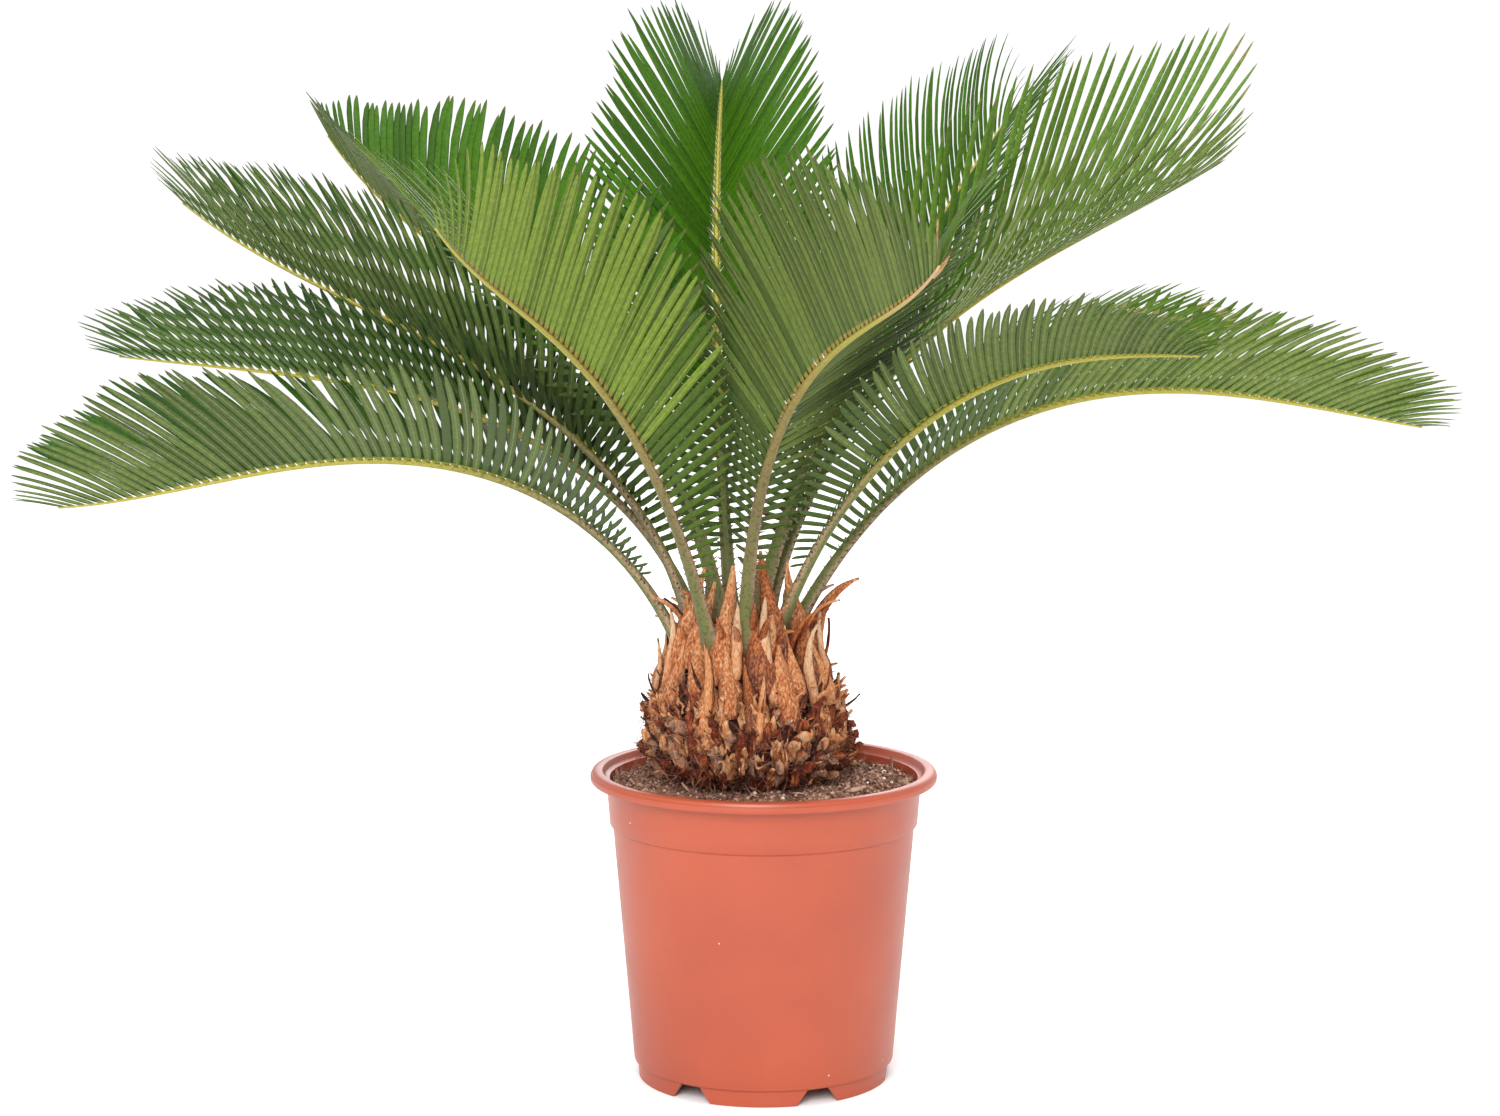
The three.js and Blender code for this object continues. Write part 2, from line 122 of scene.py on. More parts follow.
TRUNK_X_FOOT = -6
TRUNK_X_TOP = -9
TRUNK_PROFILE = [(0, 54), (8, 57), (24, 56), (40, 54), (54, 48), (66, 40), (74, 31), (79, 18)]
TRUNK_TOP = TRUNK_PROFILE[-1][0]
CORE_ROWS = 44
CORE_SEGMENTS = 120
CORE_SINK = 5
CORE_FIBRES_TOP = 62  # above it the core grows no fibres
SHAG_DEPTH = 2  # how far the shag's feet lie under the solid trunk's surface
SHAG_SHIFT = 2.5  # the shag is thicker on the trunk's left
INWARD_LEAN = math.radians(17)  # how far the woolly leaf bases lean towards the crown
GOLDEN_ANGLE = math.radians(137.5)
CROWN_SCALES = 38
CROWN_HEIGHT = 234

CURVE_STEPS = 200
BARE_SHARE = 0.2
LAST_SHARE = 0.995
FIRST_LEAFLET = 0.36
END_LEAFLET = 0.2
GROWTH_START = -0.05
FADE_STRETCH = (0.6, 0.94)
END_STRETCH = (0.88, 1.02)
FOOT_STAND = 6
BEND_FROM = 0.25
DROP_FROM = 0.3
HAND_SHIFT = 0.25  # share of a pair's spacing by which right-hand leaflets are nearer the tip
LEAFLET_ANGLES = [(0, 92), (0.12, 82), (0.35, 68), (0.65, 54), (0.88, 38), (1, 14)]
OPEN_SHARE = [(0, 0), (0.35, 1), (0.65, 1), (1, 0.2)]
LIMB_ROWS = 90
LIMB_SIDES = 12
LIMB_FLARE = 0.06  # share of the limb that widens towards its foot
RIB_TAPER = [(0, 4.3), (0.2, 2.9), (0.4, 2.1), (0.6, 1.5), (0.8, 1.1), (1, 0.6)]
SPINE_PAIRS = 19
SPINE_ZONE = (0.04, 0.24)
TORN_FROM = 0.965  # where the dry shreds start on the torn midrib
TORN_AIM = Vector((0.62, -0.2, 0.76)).normalized()
TORN_STUB_AIM = Vector((0.05, -0.2, 0.98)).normalized()

LOW_PAIRS = 5  # small leaflets below the leafy length
# the darker low leaflets are partly painted shade low in the crown
LOW_ZONE = (0.06, 0.42)  # leafy length where the leaflets turn darker towards the foot
USUAL_WIDTH = 6.2
# shares of a leaflet's length and width along the leafy length
LOW_LENGTHS = [(-0.12, 0.2), (-0.05, 0.46), (0.03, 0.8), (0.1, 1), (1, 1)]
GIRTHS = [(-0.1, 0.32), (0, 0.5), (0.14, 0.8), (0.3, 1), (0.85, 1), (1, 0.75)]


@dataclass
class Frond:
    """One frond: where it starts, how its midrib runs and how its leaflets stand."""

    foot: tuple  # heading, radius and height of the midrib's start, round the trunk's top
    length: float
    rise: tuple  # climbing angles of the midrib, blended from foot to tip
    turn: tuple  # headings of the midrib, blended likewise
    roll: tuple  # turn of the two rows round the midrib
    vee: tuple  # how steeply the rows stand, at the foot and at the tip
    bend: tuple  # how far a leaflet turns towards the frond's tip, and how far it drops outwards
    leaflet: float  # the longest leaflet
    full: float  # share of the leafy length where the leaflets reach that length
    fade: float  # how much the leaflets shorten before the very end
    opening: float  # extra angle between leaflet and midrib
    pairs: int
    upper: str  # tones of the leaflets' two sides
    under: str
    width: float = USUAL_WIDTH  # width of a leaflet
    felt: float = 0.2  # how brown the middle of the midrib is
    dry_tip: float = 0  # share of a leaflet that is dry at the frond's end
    lift: float = 0  # how much more steeply the left-hand row stands at the tip
    trim: float = 0  # how much earlier the right-hand row shortens towards the end
    torn: bool = False  # whether the midrib's end is torn and dry
    parts: tuple = ("left", "right")


SPLIT_PARTS = ("left_inner", "left_outer", "right_inner", "right_outer")
FRONDS = [
    Frond(foot=(66, 24, 246), length=382, rise=(76, 37, 20, 30), turn=(38, 59, -14), roll=(2, 35),
          vee=(64, 33), bend=(-3, -25), leaflet=134, full=0.6, fade=0.06, opening=-13,
          pairs=56, upper="olive", under="lime", width=6, felt=0, dry_tip=0.06, trim=0.12),
    Frond(foot=(62, 12, 254), length=401, rise=(72, 37, 30, 37), turn=(45, 68, 55), roll=(16, 5),
          vee=(44, 38), bend=(25, 20), leaflet=114, full=0.3, fade=0.2, opening=-19,
          pairs=56, upper="bright", under="sage", width=5.4),
    Frond(foot=(107, 26, 242), length=396, rise=(69, 71, 47, 21), turn=(105, 86, 89),
          roll=(-11, 3), vee=(46, 53), bend=(20, 22), leaflet=111, full=0.35, fade=0.24,
          opening=-3, pairs=56, upper="bright", under="sage", width=7.5, felt=0),
    Frond(foot=(137, 20, 249), length=411, rise=(80, 30, 4, 52), turn=(136, 135, 152),
          roll=(-47, 10), vee=(57, 53), bend=(-14, 37), leaflet=118, full=0.35, fade=0.49,
          opening=-10, pairs=56, upper="bright", under="sage", width=7),
    Frond(foot=(158, 27, 241), length=402, rise=(75, 13, 1, 5), turn=(158, 165, 167),
          roll=(13, -1), vee=(44, 49), bend=(4, 17), leaflet=88, full=0.36, fade=0.32,
          opening=0, pairs=58, upper="deep", under="moss", width=5.2, parts=SPLIT_PARTS),
    Frond(foot=(170, 30, 242), length=394, rise=(80, 31, 8, 35), turn=(169, 169, 158),
          roll=(9, 5), vee=(57, 47), bend=(18, 0), leaflet=99, full=0.33, fade=0.35,
          opening=-13, pairs=58, upper="deep", under="sage", width=5, felt=0.4),
    Frond(foot=(187, 35, 235), length=379, rise=(69, 28, -34, -2), turn=(181, 195, 189),
          roll=(6, 5), vee=(25, 64), bend=(11, -2), leaflet=119, full=0.3, fade=0.48,
          opening=11, pairs=60, upper="deep", under="sage", width=5.1, felt=0.1,
          parts=SPLIT_PARTS),
    Frond(foot=(238, 34, 237), length=403, rise=(69, 54, 2, 30), turn=(239, 243, 254),
          roll=(0, -3), vee=(57, 39), bend=(13, 21), leaflet=102, full=0.48, fade=0.12,
          opening=-9, pairs=54, upper="glossy", under="fresh", width=7.2, felt=0.65),
    Frond(foot=(267, 30, 239), length=408, rise=(80, 46, -6, 25), turn=(278, 297, 282),
          roll=(-30, -3), vee=(50, 54), bend=(-7, 4), leaflet=100, full=0.37, fade=0.37,
          opening=9, pairs=54, upper="glossy", under="dusky", width=7.6, felt=0.75, lift=24,
          torn=True),
    Frond(foot=(315, 19, 240), length=397, rise=(68, 44, 0, 4), turn=(322, 311, 294),
          roll=(15, -2), vee=(35, 58), bend=(15, 23), leaflet=78, full=0.42, fade=0.33,
          opening=-17, pairs=58, upper="glossy", under="sage", width=6.4, felt=0,
          dry_tip=0.12, parts=SPLIT_PARTS),
    Frond(foot=(11, 23, 242), length=421, rise=(63, 36, -23, -9), turn=(17, 21, 1),
          roll=(18, -9), vee=(54, 64), bend=(18, 14), leaflet=81, full=0.54, fade=0.24,
          opening=-7, pairs=60, upper="glossy", under="pale", width=6, felt=0,
          parts=SPLIT_PARTS),
]

# ---------------------------------------------------------------- small helpers


def hex_colour(code):
    """Linear red, green and blue of a #rrggbb screen colour."""
    parts = [int(code[i : i + 2], 16) / 255 for i in (1, 3, 5)]
    return tuple(c / 12.92 if c <= 0.04045 else ((c + 0.055) / 1.055) ** 2.4 for c in parts)


def to_frame(point):
    return POT_AXIS + Vector(point) * MM


def blend(rows, at):
    """Straight-line blend through rows of (position, value)."""
    for (x0, y0), (x1, y1) in zip(rows, rows[1:]):
        if at <= x1:
            return y0 + (y1 - y0) * (at - x0) / (x1 - x0)
    return rows[-1][1]


def bezier(values, at):
    row = list(values)
    while len(row) > 1:
        row = [a + (b - a) * at for a, b in zip(row, row[1:])]
    return row[0]


def smoothstep(low, high, value):
    t = min(1, max(0, (value - low) / (high - low)))
    return t * t * (3 - 2 * t)


def compass(heading):
    """Level directions straight out from the axis, and anticlockwise round it."""
    x, y = math.cos(heading), math.sin(heading)
    return Vector((x, y, 0)), Vector((-y, x, 0))


def circle(radius, count):
    """Points (x, y) evenly round the axis."""
    turns = [2 * math.pi * j / count for j in range(count)]
    return [(radius * math.cos(turn), radius * math.sin(turn)) for turn in turns]


def level_ring(radius, height, count):
    return [to_frame((x, y, height)) for x, y in circle(radius, count)]


def tube_faces(rows, sides, first=0):
    """Faces of a closed tube through rows + 1 rings of points."""
    faces = []
    for low in range(first, first + rows * sides, sides):
        high = low + sides
        for j in range(sides):
            k = (j + 1) % sides
            faces.append((low + j, low + k, high + k, high + j))
    end = first + rows * sides
    return faces + [tuple(reversed(range(first, first + sides))), tuple(range(end, end + sides))]


def new_object(name, mesh):
    made = bpy.data.objects.new(name, mesh)
    bpy.context.scene.collection.objects.link(made)
    return made


def new_mesh(name, points, edges=(), faces=()):
    mesh = bpy.data.meshes.new(name)
    mesh.from_pydata([tuple(point) for point in points], edges, faces)
    return mesh


def mesh_from(name, points, faces):
    """Closed mesh over points in metres, with its faces outwards."""
    mesh = new_mesh(name, points, (), faces)
    mesh.validate()
    mesh.update()
    return mesh


def turned_mesh(name, start, rings, end, downwards=False):
    """Closed body round the axis: a first point, rings of points and a last point."""
    segments = len(rings[0])
    points = [start, *(point for ring in rings for point in ring), end]
    last = 1 + (len(rings) - 1) * segments
    faces = []
    for j in range(segments):
        k = (j + 1) % segments
        a, b = (j, k) if downwards else (k, j)
        faces.append((0, 1 + a, 1 + b))
        for near in range(1, last, segments):
            far = near + segments
            faces.append((near + a, far + a, far + b, near + b))
        faces.append((len(points) - 1, last + b, last + a))
    return mesh_from(name, points, faces)


def fill_attribute(mesh, name, values, kind="FLOAT"):
    """Stores one value for each of the mesh's points."""
    vectors = kind == "FLOAT_VECTOR"
    flat = [x for value in values for x in value] if vectors else list(values)
    layer = mesh.attributes.new(name, kind, "POINT")
    layer.data.foreach_set("vector" if vectors else "value", flat)


def mark_open(mesh, is_open):
    """Stores where shapes may be strewn on a mesh; is_open is asked about each point's place."""
    places = [(vert.co - POT_AXIS) / MM for vert in mesh.vertices]
    fill_attribute(mesh, "amount", [float(is_open(place)) for place in places])


PLAIN_ATTRIBUTES = {"material_index", "sharp_face", "sharp_edge"}
SHAG_ATTRIBUTES = ("along", "edge")


def keep_attributes(mesh, names=()):
    """Drops a mesh's working attributes, apart from the named ones."""
    for name in [layer.name for layer in mesh.attributes]:
        layer = mesh.attributes[name]
        wanted = name in names or name in PLAIN_ATTRIBUTES
        if not wanted and not layer.is_required and not layer.is_internal:
            mesh.attributes.remove(layer)


def bake(piece):
    """Makes what a piece's modifiers give its own plain mesh."""
    depsgraph = bpy.context.evaluated_depsgraph_get()
    mesh = bpy.data.meshes.new_from_object(
        piece.evaluated_get(depsgraph), preserve_all_data_layers=True, depsgraph=depsgraph)
    piece.modifiers.clear()
    bare = piece.data
    piece.data = mesh
    bpy.data.meshes.remove(bare)
    mesh.name = piece.name


def finish_piece(piece, nodes=()):
    """Fastens a finished piece to the frame and hides the solids it stands for."""
    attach(piece, "root")
    if nodes:
        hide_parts(*nodes)


# ---------------------------------------------------------------- node trees


class Field:
    """A node's output. Sums, products and comparisons of fields add the nodes they need."""

    def __init__(self, tree, socket, vector=False):
        self.tree, self.socket, self.vector = tree, socket, vector

    def maths(self, operation, a, b):
        kind = "ShaderNodeVectorMath" if self.vector else "ShaderNodeMath"
        return field(self.tree, kind, {0: a, 1: b}, vector=self.vector, operation=operation)

    def __add__(self, other):
        return self.maths("ADD", self, other)

    def __sub__(self, other):
        return self.maths("SUBTRACT", self, other)

    def __rsub__(self, other):
        return self.maths("SUBTRACT", other, self)

    def __mul__(self, other):
        if self.vector:
            inputs = {0: self, "Scale": other}
            return field(self.tree, "ShaderNodeVectorMath", inputs, vector=True, operation="SCALE")
        return self.maths("MULTIPLY", self, other)

    def __pow__(self, other):
        return self.maths("POWER", self, other)

    def __gt__(self, other):
        return self.maths("GREATER_THAN", self, other)

    def __lt__(self, other):
        return self.maths("LESS_THAN", self, other)

    def above_zero(self):
        return self.maths("MAXIMUM", self, 0)


def add(tree, kind, inputs=None, **options):
    """Adds a node; inputs are values, nodes or fields, by socket number, name or identifier."""
    made = tree.nodes.new(kind)
    for name, value in options.items():
        setattr(made, name, value)
    for key, value in (inputs or {}).items():
        if isinstance(key, int):
            socket = made.inputs[key]
        else:
            socket = next(s for s in made.inputs if key in (s.identifier, s.name))
        if isinstance(value, Field):
            tree.links.new(value.socket, socket)
        elif isinstance(value, bpy.types.Node):
            tree.links.new(value.outputs[0], socket)
        else:
            socket.default_value = (*value, 1) if socket.type == "RGBA" else value
    return made


def field(tree, kind, inputs=None, output=0, vector=False, **options):
    """Adds a node and returns one of its outputs."""
    return Field(tree, add(tree, kind, inputs, **options).outputs[output], vector)


def stored(tree, name, kind="FLOAT"):
    return field(tree, "GeometryNodeInputNamedAttribute", {"Name": name},
                 vector=kind == "FLOAT_VECTOR", data_type=kind)


def stored_vector(tree, name):
    return stored(tree, name, "FLOAT_VECTOR")


def store(geometry, name, value):
    return add(value.tree, "GeometryNodeStoreNamedAttribute",
               {"Geometry": geometry, "Name": name, "Value": value},
               data_type="FLOAT_VECTOR" if value.vector else "FLOAT", domain="POINT")


def random_field(tree, kind, low, high, seed):
    """A random value between low and high for each point."""
    output = ("FLOAT_VECTOR", "FLOAT", "INT").index(kind)
    end = f"_{output:03d}" if output else ""
    inputs = {"Min" + end: low, "Max" + end: high, "Seed": seed}
    return field(tree, "FunctionNodeRandomValue", inputs, output, kind == "FLOAT_VECTOR",
                 data_type=kind)


def random_vector(tree, seed):
    return random_field(tree, "FLOAT_VECTOR", (-1,) * 3, (1,) * 3, seed)


def new_tree(name, inputs, materials):
    """Geometry tree with named inputs and finishes, and its inputs as fields by name."""
    tree = bpy.data.node_groups.new(name, "GeometryNodeTree")
    rows = {"Geometry": "Geometry", **inputs, **dict.fromkeys(materials, "Material")}
    for label, kind in rows.items():
        tree.interface.new_socket(label, in_out="INPUT", socket_type=f"NodeSocket{kind}")
    tree.interface.new_socket("Geometry", in_out="OUTPUT", socket_type="NodeSocketGeometry")
    outputs = tree.nodes.new("NodeGroupInput").outputs
    return tree, {socket.name: Field(tree, socket) for socket in outputs}


def end_tree(tree, given, geometry, finishes):
    """Closes a tree: realises its instances and deals out the finishes, name by selection."""
    made = add(tree, "GeometryNodeRealizeInstances", {"Geometry": geometry})
    for name, selection in finishes.items():
        inputs = {"Geometry": made, "Material": given[name]}
        if selection is not None:
            inputs["Selection"] = selection
        made = add(tree, "GeometryNodeSetMaterial", inputs)
    add(tree, "NodeGroupOutput", {"Geometry": made})
    return tree


def grow(piece, tree, values, kept=()):
    """Runs a tree on a piece and makes the result its own plain mesh."""
    modifier = piece.modifiers.new(tree.name, "NODES")
    modifier.node_group = tree
    for item in tree.interface.items_tree:
        if item.in_out == "INPUT" and item.name in values:
            modifier[item.identifier] = values[item.name]
    bake(piece)
    keep_attributes(piece.data, kept)
    return piece


# half widths of a leaflet along its length, as shares of the widest
LEAFLET_OUTLINE = [(0, 0.45), (0.04, 0.74), (0.15, 0.96), (0.5, 1), (0.78, 0.92), (0.9, 0.7),
                   (0.97, 0.36), (1, 0.05)]
# section of a leaflet, in half widths: (across, upwards, 1 on the underside, 1 on the vein)
LEAFLET_SECTION = [
    (1, -0.14, 0, 0), (0.75, 0, 0, 0), (0, -0.1, 0, 0), (-0.75, 0, 0, 0), (-1, -0.14, 0, 0),
    (-0.7, -0.17, 1, 0), (-0.13, -0.24, 1, 1), (0.13, -0.24, 1, 1), (0.7, -0.17, 1, 0),
]


def section_object():
    """Closed outline of a leaflet's section, which the leaflets' tree sweeps."""
    across, upwards, under, vein = zip(*LEAFLET_SECTION)
    count = len(LEAFLET_SECTION)
    edges = [(i, (i + 1) % count) for i in range(count)]
    mesh = new_mesh("leaflet_section", zip(across, upwards, [0] * count), edges)
    fill_attribute(mesh, "under", under)
    fill_attribute(mesh, "vein", vein)
    return new_object("leaflet_section", mesh)


@cache
def leaflet_tree():
    """Grows one leaflet from each point: a narrow strip with rolled edges and a furrow."""
    tree, given = new_tree(
        "Leaflets along a midrib",
        {"Section": "Object", "Width": "Float", "Wander": "Float", "Length spread": "Float",
         "Seed": "Int"},
        ("Upper", "Upper varied", "Under", "Under varied", "Vein", "Low", "Foot", "Tip"))
    seed, spread = given["Seed"], given["Length spread"]
    wander = random_vector(tree, seed) * given["Wander"]
    length = random_field(tree, "FLOAT", 1 - spread, spread + 1, seed)
    points = store(given["Geometry"], "aim_tip", stored_vector(tree, "aim_tip") + wander)
    points = store(points, "reach", stored(tree, "reach") * length)
    points = store(points, "foot", field(tree, "GeometryNodeInputPosition", vector=True))

    line = add(tree, "GeometryNodeCurvePrimitiveLine", {"End": (0, 0, 1)})
    line = add(tree, "GeometryNodeResampleCurve", {"Curve": line, "Count": 9})
    strips = add(tree, "GeometryNodeInstanceOnPoints", {"Points": points, "Instance": line})
    strips = add(tree, "GeometryNodeRealizeInstances", {"Geometry": strips})
    factor = field(tree, "GeometryNodeSplineParameter", output="Factor")
    eased = field(tree, "ShaderNodeMapRange", {"Value": factor}, interpolation_type="SMOOTHSTEP")
    # the rings stand closer together at both ends, where the outline curves most
    share = factor * 0.35 + eased * 0.65
    strips = store(strips, "share", 1 - (1 - share ** 1.5) ** 1.6)

    share = stored(tree, "share")
    late = share * share * 0.5
    path = stored_vector(tree, "aim_base") * (share - late) + stored_vector(tree, "aim_tip") * late
    place = stored_vector(tree, "foot") + path * stored(tree, "reach")
    strips = add(tree, "GeometryNodeSetPosition", {"Geometry": strips, "Position": place})
    strips = add(tree, "GeometryNodeSetCurveNormal",
                 {"Curve": strips, "Normal": stored_vector(tree, "across")}, mode="FREE")

    section = add(tree, "GeometryNodeObjectInfo", {"Object": given["Section"]})
    section = Field(tree, section.outputs["Geometry"])
    section = add(tree, "GeometryNodeMeshToCurve", {"Mesh": section})
    outline = add(tree, "ShaderNodeFloatCurve", {"Value": share})
    curve = outline.mapping.curves[0]
    while len(curve.points) < len(LEAFLET_OUTLINE):
        curve.points.new(0.5, 0.5)
    for point, place in zip(curve.points, LEAFLET_OUTLINE):
        point.location = place
    outline.mapping.update()
    girth = Field(tree, outline.outputs[0]) * (given["Width"] * 0.5) * stored(tree, "girth")
    blades = add(tree, "GeometryNodeCurveToMesh", {
        "Curve": strips, "Profile Curve": section, "Scale": girth, "Fill Caps": True})
    blades = add(tree, "GeometryNodeSetShadeSmooth", {"Geometry": blades})

    # the Low finish, on leaflets near a frond's foot, is darker partly as painted shade
    under, varied = stored(tree, "under") > 0.4, stored(tree, "pick") > 0.62
    return end_tree(tree, given, blades, {
        "Upper": None, "Upper varied": varied, "Under": under, "Under varied": under * varied,
        "Vein": stored(tree, "vein") > 0.75, "Low": stored(tree, "pick") > 1.5,
        "Foot": (1 - share) > 0.95, "Tip": share > stored(tree, "tip_from")})


FINISHES = ("First", "Second", "Third")


def set_on_points(tree, given, points, pick, facing, size):
    """Sets shapes from a collection on points, each along its stored growth."""
    shapes = add(tree, "GeometryNodeCollectionInfo", {
        "Collection": given["Shapes"], "Separate Children": True, "Reset Children": True})
    axes = {"Primary Axis": stored_vector(tree, "growth"), "Secondary Axis": facing}
    turn = add(tree, "FunctionNodeAxesToRotation", axes, primary_axis="Z", secondary_axis="Y")
    made = add(tree, "GeometryNodeInstanceOnPoints", {
        "Points": points, "Instance": shapes, "Pick Instance": True, "Instance Index": pick,
        "Rotation": turn, "Scale": size})
    return add(tree, "GeometryNodeRealizeInstances", {"Geometry": made})


def end_shapes(tree, given, made, second, third):
    """Closes a tree of shapes, whose stored tones pass two limits for the later finishes."""
    made = add(tree, "GeometryNodeSetShadeSmooth", {"Geometry": made})
    tone = stored(tree, "tone")
    selections = (None, tone > second, tone > third)
    return end_tree(tree, given, made, dict(zip(FINISHES, selections)))


@cache
def placed_tree():
    """Sets shapes on points that say how they stand, and roughens them."""
    tree, given = new_tree(
        "Shapes on placed points",
        {"Shapes": "Collection", "Roughening": "Float", "Grain": "Float"}, FINISHES)
    made = set_on_points(tree, given, given["Geometry"], stored(tree, "kind", "INT"),
                         stored_vector(tree, "outward"), stored_vector(tree, "size"))
    grain = field(tree, "ShaderNodeTexNoise", {"Scale": given["Grain"], "Detail": 2},
                  "Color", vector=True)
    made = add(tree, "GeometryNodeSetPosition", {
        "Geometry": made, "Offset": (grain - (0.5,) * 3) * given["Roughening"]})
    return end_shapes(tree, given, made, 0.5, 1.5)


@cache
def strewn_tree():
    """Strews shapes over a surface, at random sizes and leaning at random from its normals."""
    tree, given = new_tree(
        "Shapes strewn on a surface",
        {"Shapes": "Collection", "Density": "Float", "Smallest": "Float", "Largest": "Float",
         "Lean": "Float", "Seed": "Int"}, FINISHES)
    seed = given["Seed"]
    spots = add(tree, "GeometryNodeDistributePointsOnFaces", {
        "Mesh": given["Geometry"], "Density": given["Density"] * stored(tree, "amount"),
        "Seed": seed})
    normal = Field(tree, spots.outputs["Normal"], vector=True)
    spots = store(spots, "growth", normal + random_vector(tree, seed) * given["Lean"])
    spots = store(spots, "tone", random_field(tree, "FLOAT", 0, 3, seed + 1))
    size = random_field(tree, "FLOAT", given["Smallest"], given["Largest"], seed + 3)
    made = set_on_points(tree, given, spots, random_field(tree, "INT", 0, 20, seed + 4),
                         random_vector(tree, seed + 2), size)
    return end_shapes(tree, given, made, 1, 2)


# ---------------------------------------------------------------- materials


def new_material(name, roughness, specular):
    made = bpy.data.materials.new(name)
    made.use_nodes = True
    shader = made.node_tree.nodes["Principled BSDF"]
    shader.inputs["Roughness"].default_value = roughness
    shader.inputs["Specular IOR Level"].default_value = specular
    return made, made.node_tree, shader


def plug(shader, name, value):
    value.tree.links.new(value.socket, shader.inputs[name])


def object_noise(tree, scale, detail=3, stretch=None):
    """Noise over the piece's own coordinates, optionally squeezed along some axes."""
    place = field(tree, "ShaderNodeTexCoord", output="Object")
    if stretch:
        place = field(tree, "ShaderNodeMapping", {"Vector": place, "Scale": stretch})
    return field(tree, "ShaderNodeTexNoise", {"Vector": place, "Scale": scale, "Detail": detail})


def attributes(tree, *names):
    return [field(tree, "ShaderNodeAttribute", output="Fac", attribute_name=name) for name in names]


def ramp(value, rows):
    """Colour ramp over rows of (position, colour or grey)."""
    made = add(value.tree, "ShaderNodeValToRGB", {"Fac": value})
    stops = made.color_ramp.elements
    while len(stops) < len(rows):
        stops.new(0.5)
    for stop, (place, colour) in zip(stops, rows):
        stop.position = place
        stop.color = (*(colour if isinstance(colour, tuple) else (colour,) * 3), 1)
    return Field(value.tree, made.outputs["Color"])


def mix(factor, a, b):
    inputs = {0: factor, 6: a, 7: b}
    return field(factor.tree, "ShaderNodeMix", inputs, 2, data_type="RGBA")


def bump(shader, height, strength, distance_mm):
    inputs = {"Height": height, "Strength": strength, "Distance": distance_mm * MM}
    plug(shader, "Normal", field(height.tree, "ShaderNodeBump", inputs))


def mottled_material(name, colour, roughness, specular):
    """One colour with fine mottling in its shade, gloss and surface."""
    made, tree, shader = new_material(name, roughness, specular)
    fine = object_noise(tree, 420)
    dark, light = (tuple(min(1, share * c) for c in colour) for share in (0.86, 1.16))
    plug(shader, "Base Color", ramp(fine, [(0.38, dark), (0.62, light)]))
    plug(shader, "Roughness", fine * 0.2 + (roughness - 0.1))
    bump(shader, fine, 0.12, 0.2)
    return made


def felt_material(name, colours, scale):
    """Fibrous stuff: three colours in fine lengthwise mottling, with a bump."""
    made, tree, shader = new_material(name, 0.95, 0.15)
    coarse = object_noise(tree, scale * 0.2, 4)
    fine = object_noise(tree, scale, 5, (1, 1, 0.35))
    rows = list(zip((0.36, 0.5, 0.64), colours))
    plug(shader, "Base Color", ramp(coarse * 0.55 + fine * 0.45, rows))
    bump(shader, fine, 0.8, 1.2)
    return made


def wool_material(name, colours):
    """Felted wool that pales from a scale's foot to its tip, with a coarse nap; painted shade
    darkens the nap's hollows and the scale's edges.
    """
    made, tree, shader = new_material(name, 0.95, 0.1)
    deep, cream = colours[0], colours[-1]
    along, edge = attributes(tree, *SHAG_ATTRIBUTES)
    nap = object_noise(tree, 900, 4, (1, 1, 0.45))
    level = along * 0.5 + object_noise(tree, 110, 4) * 0.7
    colour = ramp(level, list(zip((0.26, 0.4, 0.76, 1), colours)))
    # painted shade: the nap's hollows darken to the deep, shaded colour; its raised tips turn cream
    raised, painted_hollow_shade = (((nap - 0.5) * slope).above_zero() for slope in (4, -4))
    colour = mix(painted_hollow_shade, mix(raised, colour, cream), deep)
    # painted shade: the scale's edges darken to the deep colour, most towards its foot, as shade in
    # the creases between scales
    painted_crease_shade = edge ** 3 * (0.9 - along)
    plug(shader, "Base Color", mix(painted_crease_shade.above_zero(), colour, deep))
    bump(shader, nap, 1, 1.6)
    return made


def plastic_material(settings):
    """Satin terracotta-coloured plastic with faint clouding and pale specks."""
    made, tree, shader = new_material("terracotta_plastic", 0.42, 0.5)
    deep, colour, dust = chosen_colours(settings, "deep", "colour", "dust")
    clouds = ramp(object_noise(tree, 14, 4), [(0.35, deep), (0.65, colour)])
    place = field(tree, "ShaderNodeTexCoord", output="Object")
    cells = field(tree, "ShaderNodeTexVoronoi", {"Vector": place, "Scale": 95}, "Distance")
    specks = (cells < 0.045) * (object_noise(tree, 22, 1) > 0.62)
    plug(shader, "Base Color", mix(specks * 0.8, clouds, dust))
    plug(shader, "Roughness", object_noise(tree, 40, 4) * 0.16 + 0.34)
    bump(shader, object_noise(tree, 260, 2), 0.06, 0.3)
    return made


def limb_material(settings):
    """Olive stalk with felted edges that turns into a yellow-green midrib."""
    made, tree, shader = new_material("stalk_and_midrib", 0.5, 0.25)
    along, edge, felted, torn = attributes(tree, "along", "edge", "felted", "torn")
    stalk, rib, felt, pale, down, speck = chosen_colours(
        settings, "stalk", "rib", "felt", "torn", "down", "speck")
    fine = object_noise(tree, 900, 4)
    body = ramp(along, [(0, felt), (0.05, stalk), (0.24, stalk), (0.5, rib), (1, rib)])
    body = mix(torn * ramp(along, [(0.74, 0), (0.93, 1)]), body, pale)
    brown = ramp(along, [(0.05, 0.1), (0.2, 0.7), (0.45, 0.8), (0.7, 0.1), (0.9, 0)])
    body = mix(brown * felted * (object_noise(tree, 130) + 0.45), body, felt)
    lower = (1 - along * 2.2).above_zero()
    body = mix(edge ** 5 * lower * (fine + 0.3), body, down)
    specks = object_noise(tree, 620, 2) > 0.56
    body = mix(specks * ramp(along, [(0.3, 0.5), (0.65, 0.12)]), body, speck)
    plug(shader, "Base Color", body)
    bump(shader, fine, 0.35, 0.4)
    return made
